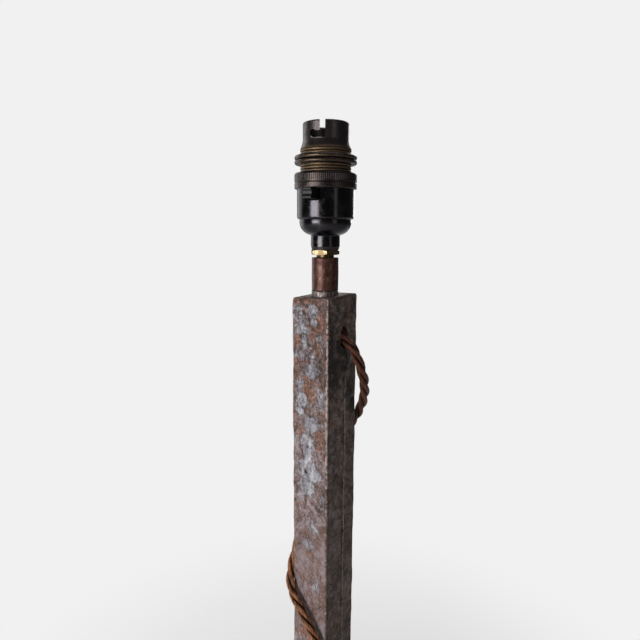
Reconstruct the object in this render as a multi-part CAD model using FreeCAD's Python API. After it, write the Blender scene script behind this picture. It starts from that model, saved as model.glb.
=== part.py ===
"""Iron table lamp with a bayonet lampholder, in millimetres.

+Z is up. The origin is on the table, under the middle of the foot. The faces of the square post look
along X and Y: the seam and the cord slot are in the +X face.
"""
import FreeCAD, Part

import math
import os

Vector = FreeCAD.Vector
UP = Vector(0, 0, 1)

# Clearances
RUNNING_CLEARANCE = 0.05
THREAD_CLEARANCE = 0.05
SEAT_CLEARANCE = 0.1
SLIDE_CLEARANCE = 0.2

# Foot
PAD_RADIUS = 11.0
PAD_THICKNESS = 2.0
PAD_INSET = 18.0
PLATE_SIDE = 160.0
PLATE_THICKNESS = 10.0
PLATE_CORNER = 5.0
PLATE_CHAMFER = 0.8
BOLT_RADIUS = 5.0
BOLT_HEAD_RADIUS = 8.0
BOLT_HEAD_HEIGHT = 4.5
BOLT_SOCKET_ACROSS_FLATS = 8.0
BOLT_SOCKET_DEPTH = 2.5
BOLT_REACH = 20.0
WASHER_RADIUS = 9.0
WASHER_THICKNESS = 1.0
BOLT_HOLE_CLEARANCE = 0.3
COUNTERBORE_DEPTH = 6.3
COUNTERBORE_CLEARANCE = 0.8
FOOT_BLOCK_HEIGHT = 25.0

# Post
POST_SIDE = 27.0
POST_WALL = 2.5
POST_CORNER = 0.9
POST_LENGTH = 340.0
SEAM_WIDTH = 0.9
SEAM_DEPTH = 0.9
SEAM_OFFSET = 2.3
CORD_SLOT_WIDTH = 7.6
CORD_SLOT_HEIGHT = 14.0
CORD_SLOT_RISE = 1.5
POST_CAP_THICKNESS = 4.0

# Spigot, nipple and lock nut
COLLAR_RADIUS = 7.75
COLLAR_HEIGHT = 2.8
COLLAR_REGISTER_RADIUS = 6.0
COLLAR_REGISTER_DEPTH = 2.5
SPIGOT_RADIUS = 7.65
SPIGOT_LENGTH = 19.1
SPIGOT_BORE_RADIUS = 4.2
NIPPLE_RADIUS = 5.0
NIPPLE_BORE_RADIUS = 3.6
NIPPLE_IN_SPIGOT = 12.0
NIPPLE_IN_BUSH = 9.3
NIPPLE_GAP = 1.5
NUT_ACROSS_FLATS = 15.2
NUT_HEIGHT = 2.8
NUT_CHAMFER = 0.6
NUT_ANGLE = -44.0

# Lampholder casing
BUSH_FLANGE_TOP_RADIUS = 8.1
BUSH_FLANGE_LOW_RADIUS = 7.65
BUSH_FLANGE_HEIGHT = 1.8
BUSH_BARREL_RADIUS = 6.1
BUSH_BARREL_LENGTH = 8.0
CASING_WALL = 1.4
NECK_RADIUS = 8.25
NECK_LENGTH = 6.5
NECK_FILLET = 0.7
DOME_RADIUS = 14.6
DOME_HEIGHT = 8.5
STEP_HEIGHT = 1.5
BODY_RADIUS = 16.05
BODY_BORE_RADIUS = 13.2
BODY_HEIGHT = 15.0
CASING_RIM_RADIUS = 15.4
CASING_RIM_HEIGHT = 2.5
LEDGE_RADIUS = 14.1
LEDGE_DEPTH = 1.8

# Union ring
UNION_RADIUS = 17.45
UNION_HEIGHT = 8.7
UNION_NECK_RADIUS = 14.4
UNION_EDGE = 1.3
UNION_GROOVE_RISE = 3.2
UNION_GROOVE_WIDTH = 0.9
UNION_GROOVE_DEPTH = 0.35
KNURL_COUNT = 96
KNURL_RADIUS = 0.3
KNURL_DEPTH = 0.14
KNURL_MARGIN = 0.5

# Bayonet sleeve
SLEEVE_RADIUS = 12.75
SLEEVE_BORE_RADIUS = 11.4
SLEEVE_MOUTH_HEIGHT = 9.4
SLEEVE_RIM = 0.8
SLEEVE_CAVITY_RADIUS = 12.6
SLEEVE_CAVITY_RISE = 1.5
SLEEVE_FLANGE_RADIUS = 15.2
SLEEVE_FLANGE_HEIGHT = 1.5
SLEEVE_SKIRT_RADIUS = 13.9
SHOULDER_HEIGHT = 4.6
FLARE_SHARE = 0.4
THREAD_RADIUS = 14.2
THREAD_ROOT_RADIUS = 13.65
THREAD_RIDGES = 8
THREAD_LENGTH = 12.5
SLOT_ANGLE = -58.5
SLOT_WIDTH = 3.0
SLOT_DEPTH = 9.0
SLOT_LEG_HEIGHT = 3.4
SLOT_POCKET_RADIUS = 2.05
SLOT_POCKET_TURN = 24.6

# Shade ring
SHADE_RING_RADIUS = 17.4
SHADE_RING_HEIGHT = 5.0
SHADE_RING_RISE = 4.3
SHADE_RING_WAIST_DEPTH = 0.9

# Insulator and contacts
INSULATOR_RADIUS = 12.5
INSULATOR_ABOVE_LEDGE = 16.8
INSULATOR_BELOW_LEDGE = 9.2
PLUNGER_ANGLE = 9.0
PLUNGER_OFFSET = 5.9
PLUNGER_RADIUS = 2.4
PLUNGER_TIP_RADIUS = 1.75
PLUNGER_BODY_LENGTH = 5.9
PLUNGER_TIP_LENGTH = 5.8
PLUNGER_LIP = 1.1
SPRING_WIRE_RADIUS = 0.25
SPRING_COILS = 5
TERMINAL_DROP = 3.5
TERMINAL_SCREW_RADIUS = 1.0
TERMINAL_SCREW_LENGTH = 2.2
TERMINAL_HEAD_RADIUS = 1.6
TERMINAL_HEAD_HEIGHT = 1.0

# Push-bar switch
BAR_ANGLE = -72.0
BAR_WIDTH = 5.0
BAR_HEIGHT = 5.7
BAR_EDGE = 0.4
BAR_DISH_RADIUS = 4.6
BAR_DISH_DEPTH = 0.4
BAR_WINDOW_CLEARANCE = 0.6
BAR_STANDS_OUT = 9.5
BAR_BACK_STANDS_OUT = 2.5
BAR_BELOW_UNION = 0.4
BRIDGE_LENGTH = 9.0
BRIDGE_WIDTH = 3.0
BRIDGE_THICKNESS = 0.6
BAR_TRAVEL = 6.0

# Earth lug
EARTH_ANGLE = 99.0
EARTH_LUG_WIDTH = 5.0
EARTH_LUG_HEIGHT = 5.0
EARTH_LUG_DEPTH = 5.0
EARTH_LUG_DROP = 0.6

# Cord
CORD_RADIUS = 3.0
CORE_RADIUS = 0.95
CORE_RING_RADIUS = 1.5
CORD_END_ABOVE_NECK = 2.2
CORD_BEND_BELOW_POST_TOP = 12.0
RUN_SHARE = 0.45

# Points of the free cord, from the slot in the post round the stem and over the plate to the coil
WRAP_ROUTE = [
    Vector(13.5, 2.0, 327.6),
    Vector(20.25, 3.0, 321.4),
    Vector(23.2, 4.4, 312.6),
    Vector(22.9, 9.4, 302.3),
    Vector(18.4, 15.8, 289.9),
    Vector(10.5, 19.6, 276.2),
    Vector(0.5, 21.0, 263.0),
    Vector(-9.2, 20.4, 248.6),
    Vector(-17.6, 15.4, 232.6),
    Vector(-21.2, 6.8, 216.0),
    Vector(-19.8, -0.4, 199.5),
    Vector(-18.0, -6.0, 183.6),
    Vector(-18.4, -12.0, 170.6),
    Vector(-13.8, -18.2, 159.8),
    Vector(-4.2, -18.9, 150.2),
    Vector(6.6, -19.0, 139.2),
    Vector(15.8, -17.2, 128.2),
    Vector(21.8, -8.8, 116.8),
    Vector(23.0, 2.2, 105.6),
    Vector(19.4, 13.0, 94.6),
    Vector(10.8, 20.6, 84.2),
    Vector(-0.4, 23.4, 74.4),
    Vector(-11.8, 20.8, 65.0),
    Vector(-20.2, 12.6, 56.4),
    Vector(-23.2, 1.4, 48.6),
    Vector(-21.0, -10.4, 41.2),
    Vector(-13.2, -19.2, 34.0),
    Vector(-2.0, -23.4, 27.2),
    Vector(10.4, -25.0, 21.4),
    Vector(24.0, -25.0, 17.2),
    Vector(38.0, -24.0, 15.4),
    Vector(52.0, -22.0, 15.1),
    Vector(65.0, -19.2, 15.4),
    Vector(77.0, -16.2, 15.8),
    Vector(88.0, -13.4, 13.4),
    Vector(98.6, -11.2, 9.0),
    Vector(109.0, -9.9, 5.6),
    Vector(117.8, -9.4, 4.2),
    Vector(126.0, -9.4, 4.2),
]

# Coil: spirals in on the lower layer, climbs, and spirals out on the upper layer
COIL_RADIUS = 41.0
COIL_TURNS_IN = 3
COIL_STEP = 6.5
COIL_LAYER_STEP = 6.5
COIL_START_ANGLE = -90.0
COIL_CLIMB_TURNS = 0.5
TIE_THICKNESS = 0.8
TIE_WIDTH = 8.0
TIE_CLEARANCE = 0.4
TIE_CORNER = 2.6
TIE_STUD_RADIUS = 2.8
TIE_STUD_HEIGHT = 1.0

# Points of the cord's tail, after the coil's end, as steps from that end
TAIL_STEPS = [
    Vector(0.0, 0.0, 0.0),
    Vector(14.2, 0.0, 0.0),
    Vector(25.8, -8.4, -2.4),
    Vector(30.2, -22.1, -5.4),
    Vector(25.8, -35.8, -7.0),
    Vector(14.2, -44.2, -5.8),
    Vector(0.2, -44.2, -2.0),
    Vector(-12.3, -44.2, -2.0),
]

# Plug, lying on its back with the pins up
PLUG_LENGTH = 49.0
PLUG_WIDTH = 48.0
PLUG_CORNER = 9.0
PLUG_COVER_HEIGHT = 15.5
PLUG_COVER_EDGE = 3.0
PLUG_COVER_WALL = 2.4
PLUG_BASE_HEIGHT = 5.0
PLUG_BASE_EDGE = 1.0
PIN_SPACING = 22.23
PIN_THICKNESS = 4.0
EARTH_PIN_WIDTH = 4.0
EARTH_PIN_LENGTH = 22.7
EARTH_PIN_BREADTH = 8.0
LINE_PIN_BREADTH = 6.35
LINE_PIN_LENGTH = 17.7
PIN_INSIDE = 6.0
PIN_CHAMFER = 0.8
LINE_PINS_FROM_CORD_END = 13.6
FUSE_RADIUS = 3.1
FUSE_LENGTH = 13.0
CORD_IN_PLUG = 7.5
GRIP_LENGTH = 5.0
GRIP_WIDTH = 20.0
GRIP_THICKNESS = 2.5
PLUG_SCREW_RADIUS = 1.4
PLUG_SCREW_HEAD_RADIUS = 2.6
PLUG_SCREW_HEAD_HEIGHT = 1.6
GRIP_SCREW_SPACING = 13.0

# Heights that follow from the stack of pieces
PLATE_LOW = PAD_THICKNESS
PLATE_TOP = PLATE_LOW + PLATE_THICKNESS
POST_TOP = PLATE_TOP + POST_LENGTH
COLLAR_TOP = POST_TOP + COLLAR_HEIGHT
SPIGOT_TOP = COLLAR_TOP + SPIGOT_LENGTH
NUT_LOW = SPIGOT_TOP + NIPPLE_GAP
BUSH_LOW = NUT_LOW + NUT_HEIGHT
NECK_LOW = BUSH_LOW + BUSH_FLANGE_HEIGHT
DOME_LOW = NECK_LOW + NECK_LENGTH
DOME_TOP = DOME_LOW + DOME_HEIGHT
BODY_LOW = DOME_TOP + STEP_HEIGHT
UNION_LOW = BODY_LOW + BODY_HEIGHT
CASING_RIM = UNION_LOW + CASING_RIM_HEIGHT
LEDGE = CASING_RIM - LEDGE_DEPTH
FLANGE_TOP = CASING_RIM + SLEEVE_FLANGE_HEIGHT
UNION_TOP = UNION_LOW + UNION_HEIGHT
THREAD_TOP = UNION_TOP + THREAD_LENGTH
SHOULDER_TOP = THREAD_TOP + SHOULDER_HEIGHT
SLEEVE_TOP = SHOULDER_TOP + SLEEVE_MOUTH_HEIGHT
CAVITY_TOP = THREAD_TOP + SLEEVE_CAVITY_RISE
INSULATOR_TOP = LEDGE + INSULATOR_ABOVE_LEDGE
INSULATOR_LOW = LEDGE - INSULATOR_BELOW_LEDGE
BAR_TOP = UNION_LOW - BAR_BELOW_UNION
BAR_LOW = BAR_TOP - BAR_HEIGHT
CORD_END = DOME_LOW + CORD_END_ABOVE_NECK
PLUNGER_SHOULDER = INSULATOR_TOP - PLUNGER_LIP - RUNNING_CLEARANCE
PLUNGER_LOW = PLUNGER_SHOULDER - PLUNGER_BODY_LENGTH
SPRING_SEAT = LEDGE + LEDGE_DEPTH
TERMINAL_LOW = INSULATOR_LOW - TERMINAL_DROP
POST_INSIDE = POST_SIDE - 2 * POST_WALL


def place(radius, degrees, height=0.0):
    """A point at a radius and an angle about the stem's axis."""
    turn = math.radians(degrees)
    return Vector(radius * math.cos(turn), radius * math.sin(turn), height)


def cylinder(radius, low, high, x=0.0, y=0.0):
    """An upright cylinder between two heights."""
    return Part.makeCylinder(radius, high - low, Vector(x, y, low))


def block(length, width, low, high, x=0.0, y=0.0):
    """An upright block, centred on a point, between two heights."""
    return Part.makeBox(length, width, high - low, Vector(x - length / 2, y - width / 2, low))


def upright_edges(shape):
    """The edges of a shape that run along Z."""
    return [e for e in shape.Edges if e.BoundBox.XLength + e.BoundBox.YLength < 1e-6]


def rounded_block(length, width, corner, low, high, x=0.0, y=0.0):
    """An upright block with round corners in plan."""
    plain = block(length, width, low, high, x, y)
    return plain.makeFillet(corner, upright_edges(plain))


def turned(outline):
    """A body turned about Z from a closed outline of (radius, height) points.

    A pair of points in the outline is an arc through the first of them to the second.
    """
    edges = []
    here = Vector(outline[0][0], 0, outline[0][1])
    for step in outline[1:] + outline[:1]:
        if isinstance(step[0], tuple):
            through = Vector(step[0][0], 0, step[0][1])
            end = Vector(step[1][0], 0, step[1][1])
            edges.append(Part.Arc(here, through, end).toShape())
        else:
            end = Vector(step[0], 0, step[1])
            edges.append(Part.LineSegment(here, end).toShape())
        here = end
    return Part.Face(Part.Wire(edges)).revolve(Vector(), UP, 360)


def arc_step(centre, radius, middle_degrees, end_degrees):
    """An outline step along an arc about a centre."""
    points = []
    for degrees in (middle_degrees, end_degrees):
        turn = math.radians(degrees)
        points.append((centre[0] + radius * math.cos(turn), centre[1] + radius * math.sin(turn)))
    return tuple(points)


def aimed(shape, degrees):
    """A copy of a shape turned about the stem's axis."""
    copy = shape.copy()
    copy.rotate(Vector(), UP, degrees)
    return copy


def hexagon(across_flats, low, high):
    """An upright hexagonal prism with a corner towards +X."""
    corner_radius = across_flats / math.sqrt(3)
    corners = [place(corner_radius, 60 * i, low) for i in range(7)]
    return Part.Face(Part.makePolygon(corners)).extrude(UP * (high - low))


def rounding_arc(start, corner, end):
    """The arc from start to end that is tangent to both lines through the corner."""
    half_turn = (corner - start).getAngle(end - corner) / 2
    chord_middle = (start + end) * 0.5
    share = math.cos(half_turn) / (1 + math.cos(half_turn))
    return Part.Arc(start, chord_middle + (corner - chord_middle) * share, end).toShape()


def cord_path(name, points):
    """Straight runs through the points, joined by tangent arcs. Prints the arcs' least radius."""
    edges = []
    radii = []
    here = points[0]
    for before, corner, after in zip(points, points[1:], points[2:]):
        arrive = corner - before
        leave = after - corner
        reach = RUN_SHARE * min(arrive.Length, leave.Length)
        radii.append(reach / math.tan(arrive.getAngle(leave) / 2))
        start = corner - arrive.normalize() * reach
        end = corner + leave.normalize() * reach
        edges.append(Part.LineSegment(here, start).toShape())
        edges.append(rounding_arc(start, corner, end))
        here = end
    edges.append(Part.LineSegment(here, points[-1]).toShape())
    print(name, "radii", [round(r, 1) for r in radii])
    return Part.Wire(edges)


def swept(name, path, radius):
    """A round tube along a path. Prints its volume against its section times its length."""
    start = path.OrderedEdges[0]
    way = start.tangentAt(start.FirstParameter)
    section = Part.Wire([Part.makeCircle(radius, start.valueAt(start.FirstParameter), way)])
    shell = Part.BRepOffsetAPI.MakePipeShell(path)
    shell.add(section)
    shell.build()
    shell.makeSolid()
    solid = Part.Solid(shell.shape())
    print(name, "length", round(path.Length, 1), "volume share",
          round(solid.Volume / (math.pi * radius ** 2 * path.Length), 4))
    return solid


def biarc(start, start_way, end, end_way):
    """Two arcs that join two points and are tangent to a direction at each."""
    chord = end - start
    ways = start_way + end_way
    square = ways.dot(ways) - 4
    linear = -2 * chord.dot(ways)
    root = math.sqrt(linear ** 2 - 4 * square * chord.dot(chord))
    reach = 2 * chord.dot(chord) / (root - linear)
    first_corner = start + start_way * reach
    second_corner = end - end_way * reach
    joint = (first_corner + second_corner) * 0.5
    return [rounding_arc(start, first_corner, joint), rounding_arc(joint, second_corner, end)]


def winding(point_at, turns, parts_per_turn, end_way=None):
    """Biarcs along a winding that a function of the turn describes.

    If a direction is given, the winding starts and ends along it.
    """
    small = 1e-4
    stops = [i / parts_per_turn for i in range(int(turns * parts_per_turn) + 1)]
    points = [point_at(t) for t in stops]
    ways = [(point_at(t + small) - point_at(t - small)).normalize() for t in stops]
    if end_way:
        ways[0] = end_way
        ways[-1] = end_way
    edges = []
    for i in range(len(stops) - 1):
        edges += biarc(points[i], ways[i], points[i + 1], ways[i + 1])
    return edges


def least_gap(path, radius, spacing):
    """The least gap of a wound tube to itself, measured on points along its path."""
    points = path.discretize(Distance=spacing)
    apart = int(4 * radius / spacing) + 1
    least = min(points[i].distanceToPoint(points[j])
                for i in range(len(points)) for j in range(i + apart, len(points)))
    return least - 2 * radius


# Foot

def base_plate():
    """Square plate with a counterbored hole for the bolt."""
    plate = rounded_block(PLATE_SIDE, PLATE_SIDE, PLATE_CORNER, PLATE_LOW, PLATE_TOP)
    rims = [e for e in plate.Edges if e.BoundBox.ZMin > PLATE_TOP - 1e-6]
    plate = plate.makeChamfer(PLATE_CHAMFER, rims)
    hole = cylinder(BOLT_RADIUS + BOLT_HOLE_CLEARANCE, PLATE_LOW, PLATE_TOP)
    sunk = cylinder(WASHER_RADIUS + COUNTERBORE_CLEARANCE, PLATE_LOW, PLATE_LOW + COUNTERBORE_DEPTH)
    return plate.cut(hole).cut(sunk)


def felt_pads():
    """Four discs under the corners of the plate."""
    reach = PLATE_SIDE / 2 - PAD_INSET
    return Part.makeCompound([cylinder(PAD_RADIUS, 0, PAD_THICKNESS, x, y)
                              for x in (-reach, reach) for y in (-reach, reach)])


WASHER_LOW = PLATE_LOW + COUNTERBORE_DEPTH - WASHER_THICKNESS


def base_washer():
    """Washer between the bolt's head and the plate."""
    hole = cylinder(BOLT_RADIUS + BOLT_HOLE_CLEARANCE, WASHER_LOW, WASHER_LOW + WASHER_THICKNESS)
    return cylinder(WASHER_RADIUS, WASHER_LOW, WASHER_LOW + WASHER_THICKNESS).cut(hole)


def base_bolt():
    """Low-headed socket bolt from below."""
    head_low = WASHER_LOW - BOLT_HEAD_HEIGHT
    bolt = cylinder(BOLT_HEAD_RADIUS, head_low, WASHER_LOW)
    bolt = bolt.fuse(cylinder(BOLT_RADIUS, head_low, PLATE_TOP + BOLT_REACH))
    socket = hexagon(BOLT_SOCKET_ACROSS_FLATS, head_low, head_low + BOLT_SOCKET_DEPTH)
    return bolt.cut(socket).removeSplitter()


def foot_block():
    """Tapped block in the bottom of the post."""
    side = POST_INSIDE - 2 * SEAT_CLEARANCE
    tapped = cylinder(BOLT_RADIUS + THREAD_CLEARANCE, PLATE_TOP, PLATE_TOP + FOOT_BLOCK_HEIGHT)
    return block(side, side, PLATE_TOP, PLATE_TOP + FOOT_BLOCK_HEIGHT).cut(tapped)


# Post and spigot

def post():
    """Folded square tube with its butt seam and the cord slot in the +X face."""
    outside = rounded_block(POST_SIDE, POST_SIDE, POST_CORNER, PLATE_TOP, POST_TOP)
    tube = outside.cut(block(POST_INSIDE, POST_INSIDE, PLATE_TOP, POST_TOP))
    face = POST_SIDE / 2
    seam_edge = Vector(face, SEAM_OFFSET - SEAM_WIDTH / 2, PLATE_TOP)
    seam_root = Vector(face - SEAM_DEPTH, SEAM_OFFSET, PLATE_TOP)
    seam = [seam_edge, seam_edge + Vector(0, SEAM_WIDTH, 0), seam_root, seam_edge]
    tube = tube.cut(Part.Face(Part.makePolygon(seam)).extrude(UP * POST_LENGTH))
    across = WRAP_ROUTE[0].y
    middle = WRAP_ROUTE[0].z + CORD_SLOT_RISE
    reach = (CORD_SLOT_HEIGHT - CORD_SLOT_WIDTH) / 2
    wall = face - POST_WALL / 2
    slot = block(2 * POST_WALL, CORD_SLOT_WIDTH, middle - reach, middle + reach, wall, across)
    for height in (middle - reach, middle + reach):
        start = Vector(wall - POST_WALL, across, height)
        slot = slot.fuse(Part.makeCylinder(CORD_SLOT_WIDTH / 2, 2 * POST_WALL, start, Vector(1, 0, 0)))
    return tube.cut(slot)


def post_cap():
    """Plate let into the top of the post."""
    side = POST_INSIDE - 2 * SEAT_CLEARANCE
    low = POST_TOP - POST_CAP_THICKNESS
    hole = cylinder(COLLAR_REGISTER_RADIUS + SEAT_CLEARANCE, low, POST_TOP)
    return block(side, side, low, POST_TOP).cut(hole)


def spigot_collar():
    """Ring at the foot of the spigot, with a register in the cap plate."""
    collar = cylinder(COLLAR_RADIUS, POST_TOP, COLLAR_TOP)
    collar = collar.fuse(cylinder(COLLAR_REGISTER_RADIUS, POST_TOP - COLLAR_REGISTER_DEPTH, COLLAR_TOP))
    bore = cylinder(SPIGOT_BORE_RADIUS, POST_TOP - COLLAR_REGISTER_DEPTH, COLLAR_TOP)
    return collar.cut(bore).removeSplitter()


def spigot_tube():
    """Short tube, tapped at the top for the nipple."""
    tapped_low = SPIGOT_TOP - NIPPLE_IN_SPIGOT
    bore = cylinder(SPIGOT_BORE_RADIUS, COLLAR_TOP, SPIGOT_TOP)
    tapped = cylinder(NIPPLE_RADIUS + THREAD_CLEARANCE, tapped_low, SPIGOT_TOP)
    return cylinder(SPIGOT_RADIUS, COLLAR_TOP, SPIGOT_TOP).cut([bore, tapped])


def nipple():
    """Hollow threaded tube between the spigot and the lampholder."""
    low = SPIGOT_TOP - NIPPLE_IN_SPIGOT
    high = BUSH_LOW + NIPPLE_IN_BUSH
    return cylinder(NIPPLE_RADIUS, low, high).cut(cylinder(NIPPLE_BORE_RADIUS, low, high))


def lock_nut():
    """Hexagon nut with chamfered corners."""
    half = NUT_ACROSS_FLATS / 2
    corner = NUT_ACROSS_FLATS / math.sqrt(3)
    high = NUT_LOW + NUT_HEIGHT
    shape = turned([(0, NUT_LOW), (half, NUT_LOW), (corner, NUT_LOW + NUT_CHAMFER),
                    (corner, high - NUT_CHAMFER), (half, high), (0, high)])
    nut = hexagon(NUT_ACROSS_FLATS, NUT_LOW, high).common(shape)
    return aimed(nut.cut(cylinder(NIPPLE_RADIUS + THREAD_CLEARANCE, NUT_LOW, high)), NUT_ANGLE)


# Lampholder

def entry_bush():
    """Flanged bush that screws into the neck and takes the nipple."""
    high = NECK_LOW + BUSH_BARREL_LENGTH
    bore = NIPPLE_RADIUS + THREAD_CLEARANCE
    return turned([(bore, BUSH_LOW), (BUSH_FLANGE_LOW_RADIUS, BUSH_LOW), (BUSH_FLANGE_TOP_RADIUS, NECK_LOW),
                   (BUSH_BARREL_RADIUS, NECK_LOW), (BUSH_BARREL_RADIUS, high), (bore, high)])


def dome_step(inset):
    """An outline step from the neck's fillet up round the dome, at an inset from the dome's outside."""
    radius = DOME_RADIUS - inset
    neck = NECK_RADIUS + NECK_FILLET - inset
    low = DOME_LOW + inset
    share = math.sqrt(0.5)
    through = (neck + (radius - neck) * share, DOME_TOP - (DOME_TOP - low) * share)
    return (through, (radius, DOME_TOP))


def bar_cut(clearance):
    """The room that the push bar needs through the whole lampholder."""
    width = BAR_WIDTH + 2 * clearance
    return aimed(block(4 * BODY_RADIUS, width, BAR_LOW - clearance, BAR_TOP + clearance), BAR_ANGLE)


def cap_shell():
    """Domed casing with its neck, a ledge for the insulator and holes for the push bar."""
    bush_bore = BUSH_BARREL_RADIUS + THREAD_CLEARANCE
    inside = dome_step(CASING_WALL)
    share = math.sqrt(0.5)
    roll = (DOME_RADIUS + (BODY_RADIUS - DOME_RADIUS) * share, BODY_LOW - STEP_HEIGHT * share)
    dome_edge = NECK_RADIUS + NECK_FILLET
    shell = turned([
        (bush_bore, NECK_LOW),
        (NECK_RADIUS, NECK_LOW),
        (NECK_RADIUS, DOME_LOW - NECK_FILLET),
        arc_step((dome_edge, DOME_LOW - NECK_FILLET), NECK_FILLET, 135, 90),
        dome_step(0.0),
        (roll, (BODY_RADIUS, BODY_LOW)),
        (BODY_RADIUS, UNION_LOW),
        (CASING_RIM_RADIUS, UNION_LOW),
        (CASING_RIM_RADIUS, CASING_RIM),
        (LEDGE_RADIUS, CASING_RIM),
        (LEDGE_RADIUS, LEDGE),
        (BODY_BORE_RADIUS, LEDGE),
        (BODY_BORE_RADIUS, BODY_LOW),
        inside[1],
        (inside[0], (dome_edge - CASING_WALL, DOME_LOW + CASING_WALL)),
        (bush_bore, DOME_LOW + CASING_WALL),
    ])
    return shell.cut(bar_cut(BAR_WINDOW_CLEARANCE))


def union_ring():
    """Clamping ring with a groove round it and a milled upper band."""
    thread = CASING_RIM_RADIUS + THREAD_CLEARANCE
    groove = UNION_LOW + UNION_GROOVE_RISE
    low_edge = (UNION_RADIUS - UNION_EDGE / 2, UNION_LOW + UNION_EDGE / 2)
    high_edge = (UNION_RADIUS - UNION_EDGE, UNION_TOP - UNION_EDGE)
    ring = turned([
        (thread, UNION_LOW),
        (UNION_RADIUS - UNION_EDGE / 2, UNION_LOW),
        arc_step(low_edge, UNION_EDGE / 2, -45, 0),
        (UNION_RADIUS, groove - UNION_GROOVE_WIDTH / 2),
        ((UNION_RADIUS - UNION_GROOVE_DEPTH, groove), (UNION_RADIUS, groove + UNION_GROOVE_WIDTH / 2)),
        (UNION_RADIUS, UNION_TOP - UNION_EDGE),
        arc_step(high_edge, UNION_EDGE, 45, 90),
        (UNION_NECK_RADIUS, UNION_TOP),
        (UNION_NECK_RADIUS, FLANGE_TOP),
        (thread, FLANGE_TOP),
    ])
    low = groove + UNION_GROOVE_WIDTH / 2 + KNURL_MARGIN
    high = UNION_TOP - UNION_EDGE
    flutes = []
    for i in range(KNURL_COUNT):
        at = place(UNION_RADIUS + KNURL_RADIUS - KNURL_DEPTH, i * 360 / KNURL_COUNT)
        flutes.append(cylinder(KNURL_RADIUS, low, high, at.x, at.y))
    return ring.cut(flutes)


def thread_steps():
    """Outline steps for the round ridges of the shade thread, from the union ring up."""
    pitch = THREAD_LENGTH / THREAD_RIDGES
    steps = []
    for i in range(THREAD_RIDGES):
        low = UNION_TOP + i * pitch
        steps.append(((THREAD_RADIUS, low + pitch / 2), (THREAD_ROOT_RADIUS, low + pitch)))
    return steps


def slot_cut(degrees):
    """The room of one J slot: down from the mouth, round, and up into a pocket."""
    low = SLEEVE_TOP - SLOT_DEPTH
    thick = SLEEVE_RADIUS - SLEEVE_BORE_RADIUS
    inner = SLEEVE_BORE_RADIUS - thick
    depth = 3 * thick
    middle = inner + depth / 2
    down = block(depth, SLOT_WIDTH, low, SLEEVE_TOP + thick, middle)
    start = Vector(inner, 0, low)
    across = Vector(depth, 0, 0)
    rise = UP * SLOT_LEG_HEIGHT
    section = Part.makePolygon([start, start + across, start + across + rise, start + rise, start])
    leg = Part.Face(section).revolve(Vector(), UP, -SLOT_POCKET_TURN)
    pocket = Part.makeCylinder(SLOT_POCKET_RADIUS, depth, start + UP * SLOT_POCKET_RADIUS, across)
    return [aimed(down, degrees), aimed(leg, degrees), aimed(pocket, degrees - SLOT_POCKET_TURN)]


def lamp_sleeve():
    """Bayonet sleeve: flange, shade thread, shoulder, and a mouth with two J slots."""
    rim = (SLEEVE_RADIUS - SLEEVE_RIM, SLEEVE_TOP - SLEEVE_RIM)
    lip = SLEEVE_RADIUS - SLEEVE_BORE_RADIUS - SLEEVE_RIM
    flare_radius = SLEEVE_RADIUS + (THREAD_RADIUS - SLEEVE_RADIUS) * FLARE_SHARE
    flare = (flare_radius, THREAD_TOP + SHOULDER_HEIGHT / 2)
    sleeve = turned([
        (SLEEVE_CAVITY_RADIUS, CASING_RIM),
        (SLEEVE_FLANGE_RADIUS, CASING_RIM),
        (SLEEVE_FLANGE_RADIUS, FLANGE_TOP),
        (SLEEVE_SKIRT_RADIUS, FLANGE_TOP),
        (SLEEVE_SKIRT_RADIUS, UNION_TOP),
        (THREAD_ROOT_RADIUS, UNION_TOP),
        *thread_steps(),
        (THREAD_RADIUS, THREAD_TOP),
        (flare, (SLEEVE_RADIUS, SHOULDER_TOP)),
        (SLEEVE_RADIUS, SLEEVE_TOP - SLEEVE_RIM),
        arc_step(rim, SLEEVE_RIM, 45, 90),
        (SLEEVE_BORE_RADIUS, SLEEVE_TOP - lip),
        (SLEEVE_BORE_RADIUS, CAVITY_TOP),
        (SLEEVE_CAVITY_RADIUS, CAVITY_TOP),
    ])
    return sleeve.cut(slot_cut(SLOT_ANGLE) + slot_cut(SLOT_ANGLE + 180))


def shade_ring():
    """Ring with a double bead, on the shade thread."""
    bore = THREAD_RADIUS + THREAD_CLEARANCE
    low = UNION_TOP + SHADE_RING_RISE
    high = low + SHADE_RING_HEIGHT
    middle = (low + high) / 2
    bead = SHADE_RING_HEIGHT / 4
    rim = SHADE_RING_RADIUS - bead
    return turned([
        (bore, low),
        (rim, low),
        ((SHADE_RING_RADIUS, low + bead), (SHADE_RING_RADIUS - SHADE_RING_WAIST_DEPTH, middle)),
        ((SHADE_RING_RADIUS, high - bead), (rim, high)),
        (bore, high),
    ])


def contact_places():
    """The places of the live and the neutral contact, seen from above."""
    live = place(PLUNGER_OFFSET, PLUNGER_ANGLE)
    return {"live": live, "neutral": -live}


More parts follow.
